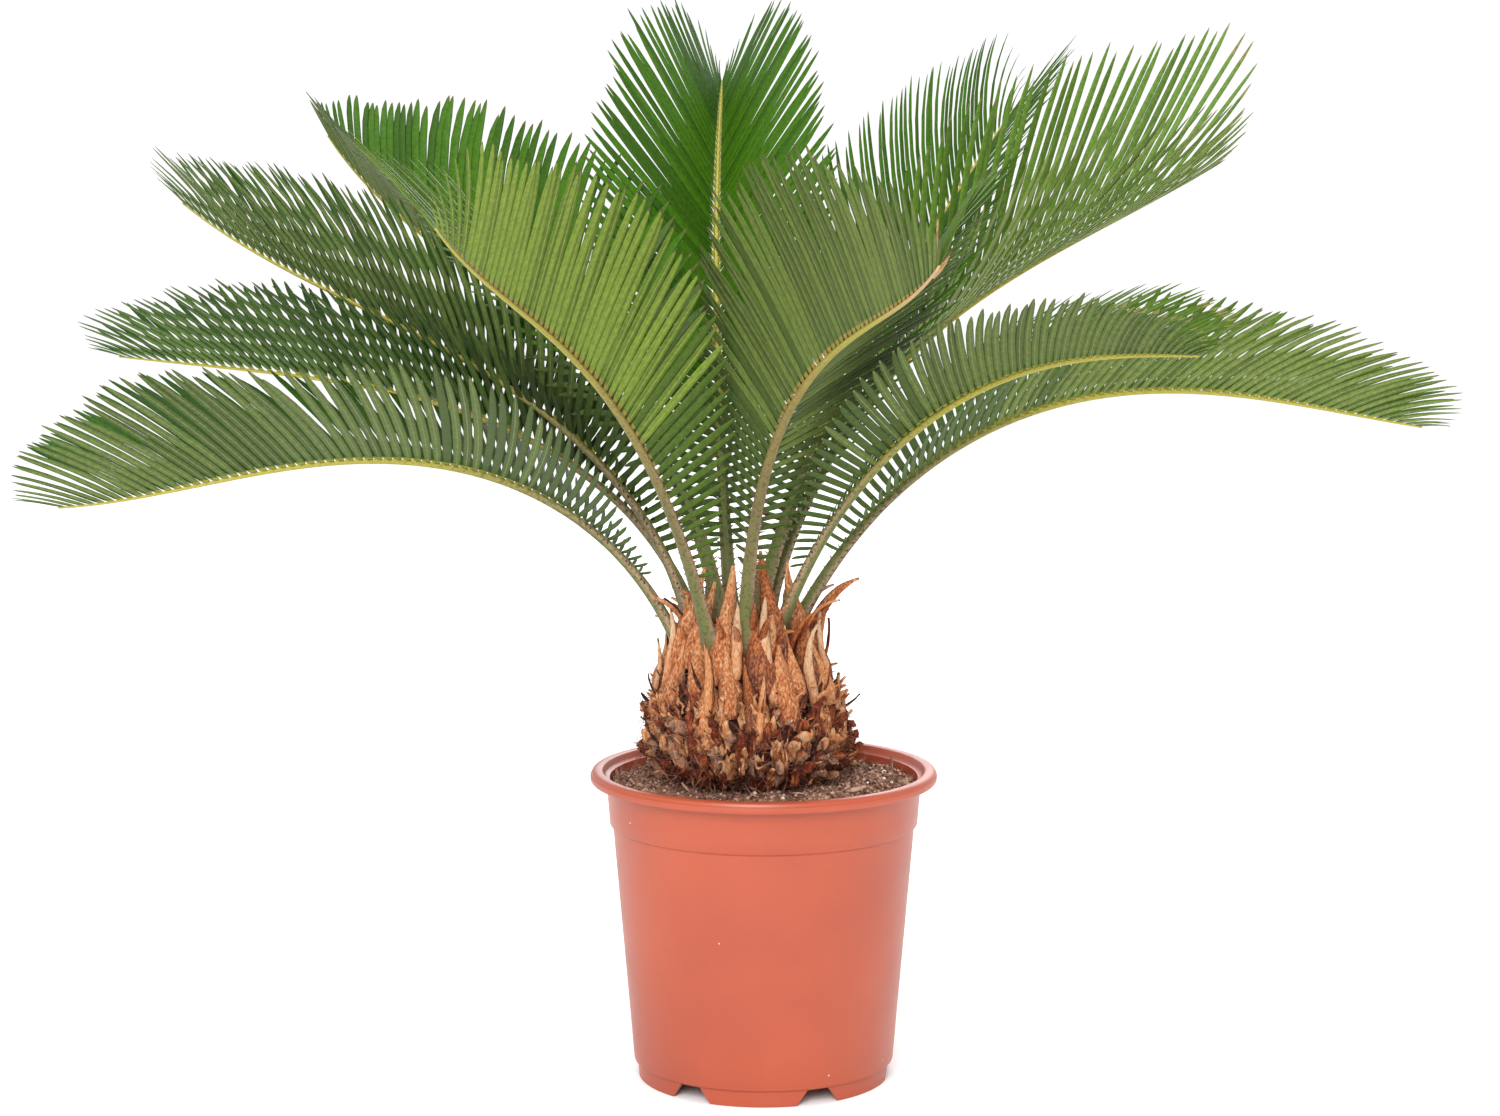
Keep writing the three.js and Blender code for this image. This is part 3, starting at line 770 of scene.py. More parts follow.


# name: colours of most leaflets, of the varied ones, of the vein beneath and of the low ones. The
# low colours and the deep tone are darker partly as painted shade inside the crown and partly as
# the leaves' own deeper green.
LEAF_TONES = {
    "bright": ("#325609", "#294808", "#3e6112", "#253f08"),
    "olive": ("#54712a", "#466020", "#607d34", "#3a4f14"),
    "lime": ("#68793a", "#57672f", "#758642", "#3f511b"),
    "deep": ("#26470c", "#1f3c0b", "#35571a", "#22390a"),
    "glossy": ("#456017", "#395212", "#53702a", "#2c420d"),
    "fresh": ("#607328", "#506221", "#6d8033", "#3e5219"),
    "sage": ("#4c5b2b", "#414f25", "#5e6c3a", "#3a4b20"),
    "moss": ("#435825", "#364a1d", "#546834", "#2f401a"),
    "pale": ("#57662f", "#495826", "#697943", "#45572a"),
    "dusky": ("#4e5d26", "#404e20", "#5d6a34", "#3a4a1c"),
}


@cache
def leaf_materials(tone, roughness, specular):
    names = (f"leaf_{tone}", f"leaf_{tone}_varied", f"leaf_{tone}_vein", f"leaf_{tone}_low")
    return [mottled_material(name, hex_colour(code), roughness, specular)
            for name, code in zip(names, LEAF_TONES[tone])]


# ---------------------------------------------------------------- settings


def number_setting(name, description, value, **options):
    return FloatProperty(name=name, description=description, default=value, min=0, **options)


def length_setting(name, description, size_mm):
    return number_setting(name, description, size_mm * MM, unit="LENGTH", subtype="DISTANCE")


def angle_setting(name, description, degrees):
    return number_setting(name, description, math.radians(degrees), unit="ROTATION",
                          subtype="ANGLE")


def share_setting(name, description, share):
    return number_setting(name, description, share, max=1, subtype="FACTOR")


def count_setting(name, description, count):
    return IntProperty(name=name, description=description, default=count, min=0)


def colour_setting(name, description, code):
    return FloatVectorProperty(name=name, description=description, default=hex_colour(code),
                               min=0, max=1, size=3, subtype="COLOR")


def chosen_colours(settings, *names):
    return [tuple(getattr(settings, name)) for name in names]


class PalmPotSettings(PropertyGroup):
    """Sizes and colours of the plastic pot."""

    wall: length_setting("Wall", "Thickness of the pot's wall", 1.7)
    segments: count_setting("Segments", "Faces round the pot", 144)
    colour: colour_setting("Plastic", "Colour of the pot's plastic", "#9f4427")
    deep: colour_setting("Deep plastic", "Darker clouding of the plastic", "#963e24")
    dust: colour_setting("Dust", "Colour of the specks on the plastic", "#efc9b8")


class PalmSoilSettings(PropertyGroup):
    """What the potting compost is made of."""

    relief: length_setting("Relief", "Height of the lumps in the soil", 2.2)
    crumbs: number_setting("Crumbs", "Crumbs on each square metre", 130000)
    fibres: number_setting("Fibres", "Fibres on each square metre", 45000)
    chips: number_setting("Chips", "Bark chips on each square metre", 5200)
    perlite: number_setting("Perlite", "White grains on each square metre", 1500)
    seed: count_setting("Seed", "Fixes where the grains fall", 5)
    dark: colour_setting("Dark", "Dark compost", "#44291f")
    brown: colour_setting("Brown", "Brown compost", "#745142")
    straw: colour_setting("Straw", "Pale fibres and chips", "#a98874")
    white: colour_setting("White", "Perlite", "#d8d0c4")


class PalmTrunkSettings(PropertyGroup):
    """The short shaggy trunk and the scales round the crown."""

    relief: length_setting("Relief", "Depth of the dark fibrous core's relief", 4)
    bases: count_setting("Leaf bases", "Woolly leaf bases round the upper trunk", 36)
    papers: count_setting("Papery scales", "Pale papery scales among the leaf bases", 17)
    flaps: count_setting("Flaps", "Frayed flaps on the lower trunk", 120)
    stubs: count_setting("Stubs", "Broken stubs on the lower trunk", 110)
    shreds: count_setting("Shreds", "Narrow torn shreds on the lower trunk", 620)
    spikes: count_setting("Spikes", "Thin dark spikes that stand out of the trunk", 14)
    fibres: number_setting("Fibres", "Fibres on each square metre of the core", 170000)
    wool: number_setting("Wool", "Hairs on each square metre of the leaf bases", 150000)
    litter: number_setting("Litter", "Loose fibres on each square metre of the flaps", 60000)
    seed: count_setting("Seed", "Fixes how the scales differ", 11)
    deep: colour_setting("Deep rust", "Shaded red-brown of the wool and bark", "#662c1c")
    rust: colour_setting("Rust", "Woolly orange-brown", "#9a5832")
    tan: colour_setting("Tan", "Lighter wool", "#b2764a")
    cream: colour_setting("Cream", "Papery pale scales", "#bd9f80")
    umber: colour_setting("Umber", "Dark fibrous gaps", "#351a14")
    bark: colour_setting("Bark", "Brown of the lower trunk", "#683d30")
    dry: colour_setting("Dry bark", "Light edges of the flaps", "#8f6a56")


class PalmFrondSettings(PropertyGroup):
    """Leaflets, midribs and stalks."""

    width: length_setting("Leaflet width", "Width of a leaflet", USUAL_WIDTH)
    wander: share_setting("Wander", "Unevenness of the leaflets' aim", 0.045)
    spread: share_setting("Length spread", "Unevenness of the leaflets' length", 0.035)
    spine: length_setting("Spine", "Length of the spines on the stalks", 3.4)
    seed: count_setting("Seed", "Fixes how the leaflets differ", 3)
    tip: colour_setting("Tip", "Dry brown leaflet tips", "#4a4426")
    straw_tip: colour_setting("Straw tip", "Bleached leaflet tips", "#6f6c3a")
    foot: colour_setting("Foot", "Yellow-green foot of a leaflet", "#7a7a30")
    tan_foot: colour_setting("Tan foot", "Ochre foot of a leaflet", "#7b6a30")
    rib: colour_setting("Midrib", "Yellow-green of the midribs", "#938b37")
    stalk: colour_setting("Stalk", "Olive of the stalks", "#565c2e")
    felt: colour_setting("Felt", "Brown felt on the stalks and midribs", "#6a543a")
    down: colour_setting("Down", "Pale pinkish down along the stalks' edges", "#a98670")
    speck: colour_setting("Specks", "Dark specks on the stalks", "#37321c")
    thorn: colour_setting("Spines", "Red-brown spines on the stalks", "#4c2b1c")
    torn: colour_setting("Torn midrib", "Pale dry end of the torn midrib", "#a98a66")
    frayed: colour_setting("Frayed end", "Orange of the torn midrib's last shred", "#9c6a2c")


class PalmStageSettings(PropertyGroup):
    """Camera, floor and light."""

    lens: number_setting("Lens", "Focal length in millimetres", 84)
    distance: length_setting("Distance", "Camera's distance in front of the pot", 1884)
    height: length_setting("Height", "Camera's height above the floor", 549)
    offset: length_setting("Offset", "Camera's place to the left of the pot", 7.5)
    pitch: angle_setting("Pitch", "Downward tilt of the camera", 7.9)
    floor: colour_setting("Floor", "Colour of the floor", "#fdfdfd")


# ---------------------------------------------------------------- stage

FLOOR_REACH_M = 8
SENSOR_WIDTH = 36
FARTHEST_M = 50
STUDIO_GLOW = 1.05
LIGHTS_AIM_M = Vector((0, 0, 0.35))
LIGHTS = [  # name, place and size in metres, watts
    ("key", (-0.4, -2.5, 1.5), 1.5, 80),
    ("top", (0, -0.2, 2.4), 1.6, 26),
    ("back", (0.3, 2.4, 1.4), 1.6, 24),
]


def area_light(name, place, size, watts):
    light = bpy.data.lights.new(name, "AREA")
    light.shape = "DISK"
    light.size = size
    light.energy = watts
    made = new_object(name, light)
    made.location = place
    made.rotation_euler = (LIGHTS_AIM_M - Vector(place)).to_track_quat("-Z", "Y").to_euler()


class PALM_OT_stage(Operator):
    """Lay the floor and set the camera and the soft studio light"""

    bl_idname = "palm.stage"
    bl_label = "Stage"

    def execute(self, context):
        settings = context.scene.palm_stage
        camera = new_object("camera", bpy.data.cameras.new("camera"))
        camera.data.lens = settings.lens
        camera.data.sensor_width = SENSOR_WIDTH
        camera.data.clip_end = FARTHEST_M
        camera.location = POT_AXIS + Vector((-settings.offset, -settings.distance, settings.height))
        camera.rotation_euler = (math.pi / 2 - settings.pitch, 0, 0)
        context.scene.camera = camera

        corners = [(x * FLOOR_REACH_M, y * FLOOR_REACH_M, 0)
                   for x, y in ((-1, -1), (1, -1), (1, 1), (-1, 1))]
        floor = new_object("floor", mesh_from("floor", corners, [(0, 1, 2, 3)]))
        made, tree, shader = new_material("pale_floor", 0.9, 0)
        pale = tuple(settings.floor)
        dimmer = tuple(0.985 * c for c in pale)
        plug(shader, "Base Color", ramp(object_noise(tree, 3), [(0.3, dimmer), (0.7, pale)]))
        floor.data.materials.append(made)

        world = bpy.data.worlds.new("studio")
        world.use_nodes = True
        background = world.node_tree.nodes["Background"]
        background.inputs["Color"].default_value = (1, 1, 1, 1)
        background.inputs["Strength"].default_value = STUDIO_GLOW
        context.scene.world = world
        context.scene.view_settings.view_transform = "Standard"
        for row in LIGHTS:
            area_light(*row)
        return {"FINISHED"}


# ---------------------------------------------------------------- pot


def beside(radius, height, steps):
    """Places in the pot's section at small steps (outwards, upwards) from a corner."""
    return [(radius + out, height + up) for out, up in steps]


def pot_profile(wall):
    """Closed section of the pot's wall and floor as (radius, height), with its edges rounded."""
    skirt_top = SKIRT_HEIGHT + 1.6
    body = [(BODY_FOOT_RADIUS + (BODY_TOP_RADIUS - BODY_FOOT_RADIUS) * i / BODY_STEPS,
             skirt_top + (STEP_HEIGHT - SKIRT_HEIGHT - 3) * i / BODY_STEPS)
            for i in range(1, BODY_STEPS)]
    outside = [
        (0, FLOOR_BOTTOM),
        *beside(SKIRT_RADIUS, FLOOR_BOTTOM, [(-3, 0), (-2.2, -0.6)]),
        *beside(SKIRT_RADIUS, 0, [(-2, 0.5), (-1.6, 0), (-0.5, 0), (0, 0.5)]),
        *beside(SKIRT_RADIUS, SKIRT_HEIGHT, [(0.3, -0.5), (0.3, 0), (1.6, 0.15), (2.3, 0.6)]),
        (BODY_FOOT_RADIUS + 0.1, skirt_top),
        *body,
        *beside(BODY_TOP_RADIUS, STEP_HEIGHT, [(0, -1.2), (0.1, -0.4), (0.7, 0)]),
        *beside(BAND_FOOT_RADIUS, STEP_HEIGHT, [(-0.5, 0.3), (0, 1.1), (0.6, 9)]),
        *beside(BAND_TOP_RADIUS, LIP_BOTTOM, [(0, -1.5), (0.4, -0.6)]),
    ]
    lip = [
        *beside(RIM_RADIUS, LIP_BOTTOM, [
            (-2.2, -0.6), (-0.7, -0.3), (-0.2, 0.4), (0, 1.6), (-0.15, 3), (-0.6, 3.4),
            (-0.8, 3.9), (-1.1, 4.8), (-1.9, 5.4)]),
        *beside(RIM_RADIUS, RIM_TOP, [
            (-3, 0), (-5.4, 0), (-6.6, -0.4), (-7.4, -1.4), (-7.8, -3), (-8.6, -3.8)]),
    ]
    inside = [
        *beside(BAND_TOP_RADIUS - wall, LIP_BOTTOM, [(-0.1, 1.4), (-0.2, -1)]),
        (BAND_FOOT_RADIUS - wall, STEP_HEIGHT),
        (BODY_TOP_RADIUS - wall, STEP_HEIGHT - wall),
        *beside(BODY_FOOT_RADIUS - wall, FLOOR_TOP, [(0.2, 1.5), (-1, 0)]),
        (0, FLOOR_TOP),
    ]
    return outside + lip + inside


def pot_mesh(wall, segments):
    start, *rows, end = pot_profile(wall)
    rings = [level_ring(radius, height, segments) for radius, height in rows]
    return turned_mesh("nursery_pot", to_frame((0, 0, start[1])), rings, to_frame((0, 0, end[1])))


def pot_cutters():
    """Solids of the notches between the feet and of the drain holes."""
    foot, top = NOTCH_FOOT_WIDTH / 2, NOTCH_TOP_WIDTH / 2
    corners = [(-foot, -1), (foot, -1), (top, NOTCH_HEIGHT), (-top, NOTCH_HEIGHT)]
    notch = [(SKIRT_RADIUS + reach, y, z) for reach in (-NOTCH_REACH, NOTCH_REACH)
             for y, z in corners]
    drain = [(DRAIN_CIRCLE + x, y, z) for z in (FLOOR_BOTTOM - 3, FLOOR_TOP + 3)
             for x, y in circle(DRAIN_RADIUS, DRAIN_SIDES)]
    points, faces = [], []
    for i in range(FOOT_COUNT):
        turn = Matrix.Rotation(NOTCH_FIRST + i * 2 * math.pi / FOOT_COUNT, 3, "Z")
        for solid in (notch, drain):
            faces += tube_faces(1, len(solid) // 2, len(points))
            points += [to_frame(turn @ Vector(point)) for point in solid]
    return new_object("pot_cutters", mesh_from("pot_cutters", points, faces))


class PALM_OT_pot(Operator):
    """Mould the nursery pot with its lip, step, feet and drain holes"""

    bl_idname = "palm.pot"
    bl_label = "Pot"

    def execute(self, context):
        settings = context.scene.palm_pot
        pot = new_object("nursery_pot", pot_mesh(settings.wall / MM, settings.segments))
        cutters = pot_cutters()
        cut = pot.modifiers.new("openings", "BOOLEAN")
        cut.operation = "DIFFERENCE"
        cut.solver = "EXACT"
        cut.object = cutters
        bake(pot)
        bpy.data.objects.remove(cutters)
        pot.data.shade_smooth()
        pot.data.set_sharp_from_angle(angle=math.radians(32))
        pot.data.materials.clear()
        pot.data.materials.append(plastic_material(settings))
        finish_piece(pot, ["pot"])
        return {"FINISHED"}


# ---------------------------------------------------------------- shapes for the trunk and soil


@dataclass
class Slab:
    """A bent tongue, flap or strip: Z is its growth, Y points away from the trunk, X is across."""

    length: float
    width: float
    depth: float
    outline: list  # rows of (share of the length, share of the width)
    bow: tuple  # outward lean in degrees at the foot, middle and tip
    cup: float = 0  # how far the sides bend back, in degrees
    tear: float = 0  # ragged tip, as a share of the length
    flat: bool = False  # even thickness, for papery pieces
    across: int = 6
    along: int = 9


def slab_mesh(name, slab, seed):
    """Closed mesh of a slab with its foot at the origin, which stores how far out points are."""
    top, bottom, shares, edges = [], [], [], []
    spine = Vector((0, 0, 0))
    for i in range(slab.along + 1):
        share = i / slab.along
        lean = math.radians(bezier(slab.bow, share))
        growth = Vector((0, math.sin(lean), math.cos(lean)))
        normal = Vector((0, math.cos(lean), -math.sin(lean)))
        if i:
            spine = spine + growth * (slab.length / slab.along)
        girth = blend(slab.outline, share)
        half = slab.width / 2 * girth
        for j in range(slab.across + 1):
            u = 2 * j / slab.across - 1
            turn = math.radians(slab.cup) * u
            ragged = slab.tear * slab.length * share ** 4 * noise.noise((u * 4, seed, 0))
            if slab.flat:
                wave = 0.5 * slab.depth * noise.noise((u * 1.5, share * 3, seed))
                thick = slab.depth / 2
            else:
                wave = 0
                thick = slab.depth / 2 * girth * math.sqrt(max(0.03, 1 - u * u))
            sideways = Vector((half * u * math.cos(turn / 2), 0, 0))
            sunk = half * abs(u) * math.sin(abs(turn)) - wave
            point = spine + growth * ragged + sideways - normal * sunk
            top.append((point + normal * thick) * MM)
            bottom.append((point - normal * thick) * MM)
            shares.append(share)
            edges.append(abs(u))
    row, shift = slab.across + 1, len(top)
    faces = []
    for i in range(slab.along):
        for a in range(i * row, i * row + slab.across):
            faces.append((a, a + row, a + row + 1, a + 1))
            faces.append((shift + a, shift + a + 1, shift + a + row + 1, shift + a + row))
        left, right = i * row, i * row + slab.across
        faces.append((left, shift + left, shift + left + row, left + row))
        faces.append((right, right + row, shift + right + row, shift + right))
    for j in range(slab.across):
        end = slab.along * row + j
        faces.append((j, j + 1, shift + j + 1, shift + j))
        faces.append((end, shift + end, shift + end + 1, end + 1))
    mesh = mesh_from(name, top + bottom, [tuple(reversed(face)) for face in faces])
    fill_attribute(mesh, "along", shares * 2)
    fill_attribute(mesh, "edge", edges * 2)
    return mesh


def slab_meshes(name, count, seed, make):
    """Several slabs of one kind; make says what the slab with a given number is like."""
    return [slab_mesh(f"{name}_{i}", make(i), seed + i) for i in range(count)]


def strand_mesh(name, length, radius, bends, steps=4, sides=3):
    """Thin tapering fibre along Z that wanders sideways by bends, closed at both ends."""
    points = []
    for i in range(steps + 1):
        share = i / steps
        middle = Vector((bends[0] * math.sin(share * 2.2), bends[1] * share * share,
                         share * length))
        points += [(middle + Vector((x, y, 0))) * MM
                   for x, y in circle(radius * (1 - 0.8 * share), sides)]
    return mesh_from(name, points, tube_faces(steps, sides))


def crumb_mesh(name, radius, seed):
    """Small uneven lump."""
    made = bmesh.new()
    bmesh.ops.create_icosphere(made, subdivisions=1, radius=radius * MM)
    for vert in made.verts:
        vert.co *= 1 + 0.45 * noise.noise(vert.co.normalized() * 1.7 + Vector((seed, 0, 0)))
    mesh = bpy.data.meshes.new(name)
    made.to_mesh(mesh)
    made.free()
    return mesh


@dataclass
class Spot:
    """Where a shape is set, which way it grows and faces, its size, kind and finish."""

    place: Vector
    growth: Vector
    outward: Vector
    size: tuple = (1, 1, 1)
    kind: int = 0
    tone: int = 0


SPOT_ATTRIBUTES = {"growth": "FLOAT_VECTOR", "outward": "FLOAT_VECTOR", "size": "FLOAT_VECTOR",
                   "kind": "INT", "tone": "FLOAT"}


def set_shapes(name, tree, mesh, shapes, materials, values, kept=()):
    """Runs a tree that sets shapes on a mesh, in up to three finishes."""
    piece = new_object(name, mesh)
    group = bpy.data.collections.new(f"{name}_shapes")
    for shape in shapes:
        group.objects.link(bpy.data.objects.new(shape.name, shape))
    grow(piece, tree, {"Shapes": group, **dict(zip(FINISHES, materials)), **values}, kept)
    for shape in list(group.objects):
        bpy.data.objects.remove(shape)
    bpy.data.collections.remove(group)
    return piece


def place_shapes(name, spots, shapes, materials, roughening=0, grain=100):
    mesh = new_mesh(name, [to_frame(spot.place) for spot in spots])
    for attribute, kind in SPOT_ATTRIBUTES.items():
        fill_attribute(mesh, attribute, [getattr(spot, attribute) for spot in spots], kind)
    values = {"Roughening": roughening * MM, "Grain": float(grain)}
    return set_shapes(name, placed_tree(), mesh, shapes, materials, values, SHAG_ATTRIBUTES)


def strew_shapes(name, surface, shapes, materials, density, sizes, lean, seed):
    """Strews shapes over a copy of a surface mesh that has an amount on each point."""
    smallest, largest = sizes
    values = {"Density": density, "Smallest": smallest, "Largest": largest,
              "Lean": float(lean), "Seed": seed}
    return set_shapes(name, strewn_tree(), surface.copy(), shapes, materials, values)


# ---------------------------------------------------------------- soil


def soil_place(x, y, relief):
    """Point on the soil, which is mounded round the trunk and sinks to the wall."""
    lumps = noise.noise((x * 0.05, y * 0.05, 1.3)) + 0.6 * noise.noise((x * 0.16, y * 0.16, 4.1))
    height = blend(SOIL_PROFILE, math.hypot(x, y)) + relief * (lumps - 0.35)
    return to_frame((x, y, height))


def soil_mesh(relief):
    """Closed body of soil inside the pot, with a lumpy top."""
    rings = [[soil_place(x, y, relief)
              for x, y in circle(SOIL_RADIUS * i / SOIL_RINGS, SOIL_SEGMENTS)]
             for i in range(1, SOIL_RINGS + 1)]
    side = [(BAND_FOOT_RADIUS, STEP_HEIGHT), (BODY_TOP_RADIUS, STEP_HEIGHT - 2),
            (BODY_FOOT_RADIUS, SOIL_FOOT)]
    rings += [level_ring(radius - 2, height, SOIL_SEGMENTS) for radius, height in side]
    foot = to_frame((0, 0, SOIL_FOOT))
    return turned_mesh("soil", soil_place(0, 0, relief), rings, foot, downwards=True)


class PALM_OT_soil(Operator):
    """Fill the pot with compost: crumbs, fibres, bark chips and perlite"""

    bl_idname = "palm.soil"
    bl_label = "Soil"

    def execute(self, context):
        settings = context.scene.palm_soil
        tones = chosen_colours(settings, "dark", "brown", "straw")
        body = new_object("soil_bed", soil_mesh(settings.relief / MM))
        body.data.shade_smooth()
        body.data.materials.append(felt_material("compost", tones, 420))
        mark_open(body.data, lambda place: place.z > SOIL_EDGE - 6 and
                  OPEN_SOIL[0] < math.hypot(place.x, place.y) < OPEN_SOIL[1])

        dark, brown, straw = (mottled_material(*row, 0.2) for row in zip(
            ("compost_dark", "compost_brown", "compost_straw"), tones, (0.95, 0.95, 0.9)))
        white = mottled_material("perlite", tuple(settings.white), 0.8, 0.3)
        crumbs = [crumb_mesh(f"crumb_{i}", 0.9, i * 3.7) for i in range(4)]
        strands = [strand_mesh(f"soil_fibre_{i}", 7 + i, 0.16, (1.2 + i, 1.5 - i))
                   for i in range(3)]
        outline = [(0, 0.5), (0.2, 1), (0.8, 0.9), (1, 0.4)]
        chips = slab_meshes("chip", 3, 0, lambda i: Slab(
            7 + 2 * i, 2.4, 1, outline, (0, 14 * i, 0), across=3, along=3))
        rows = [
            ("soil_crumbs", crumbs, (dark, brown, straw), settings.crumbs, (0.35, 1.3), 0.6),
            ("soil_fibres", strands, (straw, straw, brown), settings.fibres, (0.5, 1.2), 2.2),
            ("soil_chips", chips, (brown, straw, brown), settings.chips, (0.5, 1.1), 3),
            ("soil_perlite", crumbs, (white,) * 3, settings.perlite, (0.7, 1.6), 0.5),
        ]
        pieces = [strew_shapes(name, body.data, *row, settings.seed + 10 * i)
                  for i, (name, *row) in enumerate(rows)]
        keep_attributes(body.data)
        finish_piece(body, ["soil"])
        for piece in pieces:
            finish_piece(piece)
        return {"FINISHED"}


# ---------------------------------------------------------------- trunk


def trunk_place(height, heading, sink):
    """Point under the trunk's surface and the direction straight out of it."""
    lean = TRUNK_X_FOOT + (TRUNK_X_TOP - TRUNK_X_FOOT) * height / TRUNK_TOP - SHAG_SHIFT
    radius = blend(TRUNK_PROFILE, height) - sink - SHAG_DEPTH
    slope = blend(TRUNK_PROFILE, height + 2) - blend(TRUNK_PROFILE, height - 2)
    outward, _ = compass(heading)
    place = Vector((lean, 0, SOIL_TOP + height)) + outward * radius
    return place, (outward * 4 - UP * slope).normalized()


def core_mesh(relief):
    """The trunk's dark fibrous core, deeply furrowed, closed above and below."""
    points = []
    for i in range(CORE_ROWS + 1):
        height = TRUNK_TOP * i / CORE_ROWS
        for j in range(CORE_SEGMENTS):
            heading = 2 * math.pi * j / CORE_SEGMENTS
            x, y = math.cos(heading), math.sin(heading)
            rough = noise.noise((x * 7, y * 7, height * 0.12))
            fine = noise.noise((x * 26, y * 26, height * 0.2))
            sink = CORE_SINK + relief * (0.5 + 0.6 * rough + 0.4 * fine)
            points.append(to_frame(trunk_place(height, heading, sink)[0]))
    return mesh_from("trunk_core", points, tube_faces(CORE_ROWS, CORE_SEGMENTS))


TONGUE = [(0, 0.5), (0.1, 0.85), (0.25, 1), (0.4, 0.92), (0.55, 0.64), (0.7, 0.42), (0.85, 0.28),
          (1, 0.12)]
STRAP = [(0, 0.7), (0.2, 1), (0.6, 0.85), (0.85, 0.5), (1, 0.12)]
BLUNT = [(0, 0.55), (0.25, 0.95), (0.6, 1), (0.85, 0.8), (1, 0.5)]
SPLINTER = [(0, 0.8), (0.3, 1), (0.7, 0.8), (1, 0.25)]
NEEDLE = [(0, 1), (0.5, 0.7), (0.85, 0.3), (1, 0.06)]


@dataclass
class Shag:
    """One kind of scrap round the trunk: how many, where, how they stand, and their shapes."""

    name: str
    count: int
    zone: tuple  # heights of the lowest and highest foot
    sink: float  # how deep the feet lie
    lean: tuple  # least and most lean out of the trunk's surface
    sizes: tuple  # smallest and largest
    tones: tuple  # finishes to draw from
    shapes: list
    materials: tuple
    roughening: float
    grain: float
    upright: float = 0  # lean towards the crown, for scales that don't follow the surface
    left_tones: tuple = ()  # finishes on the trunk's left, if they differ there

    def spot(self, height, heading, rng):
        lean = 0 if self.upright else rng.uniform(*self.lean)
        scale = rng.uniform(*self.sizes)
        size = (scale * rng.uniform(0.85, 1.2), scale, scale * rng.uniform(0.85, 1.2))
        left = self.left_tones and math.cos(heading) < -0.4
        tone = rng.choice(self.left_tones if left else self.tones)
        place, facing = trunk_place(height, heading, self.sink)
        outward, sideways = compass(heading)
        if self.upright:
            facing = outward
            growth = UP * math.cos(self.upright) - outward * math.sin(self.upright)
            growth += sideways * rng.uniform(-0.13, 0.13)
        else:
            rise = (UP - facing * UP.dot(facing)).normalized()
            growth = rise + facing * lean + sideways * rng.uniform(-0.25, 0.25)
        kind = rng.randrange(len(self.shapes))
        return Spot(place, growth.normalized(), facing, size, kind, tone)

    def build(self, rng):
        """Sets the scraps on a spiral that climbs the trunk."""
        low, high = self.zone
        spots = []
        for i in range(self.count):
            height = low + (high - low) * (i + rng.uniform(-0.4, 0.4)) / self.count
            heading = i * GOLDEN_ANGLE + rng.uniform(-0.12, 0.12)
            spots.append(self.spot(height, heading, rng))
        return place_shapes(self.name, spots, self.shapes, self.materials, self.roughening,
                            self.grain)


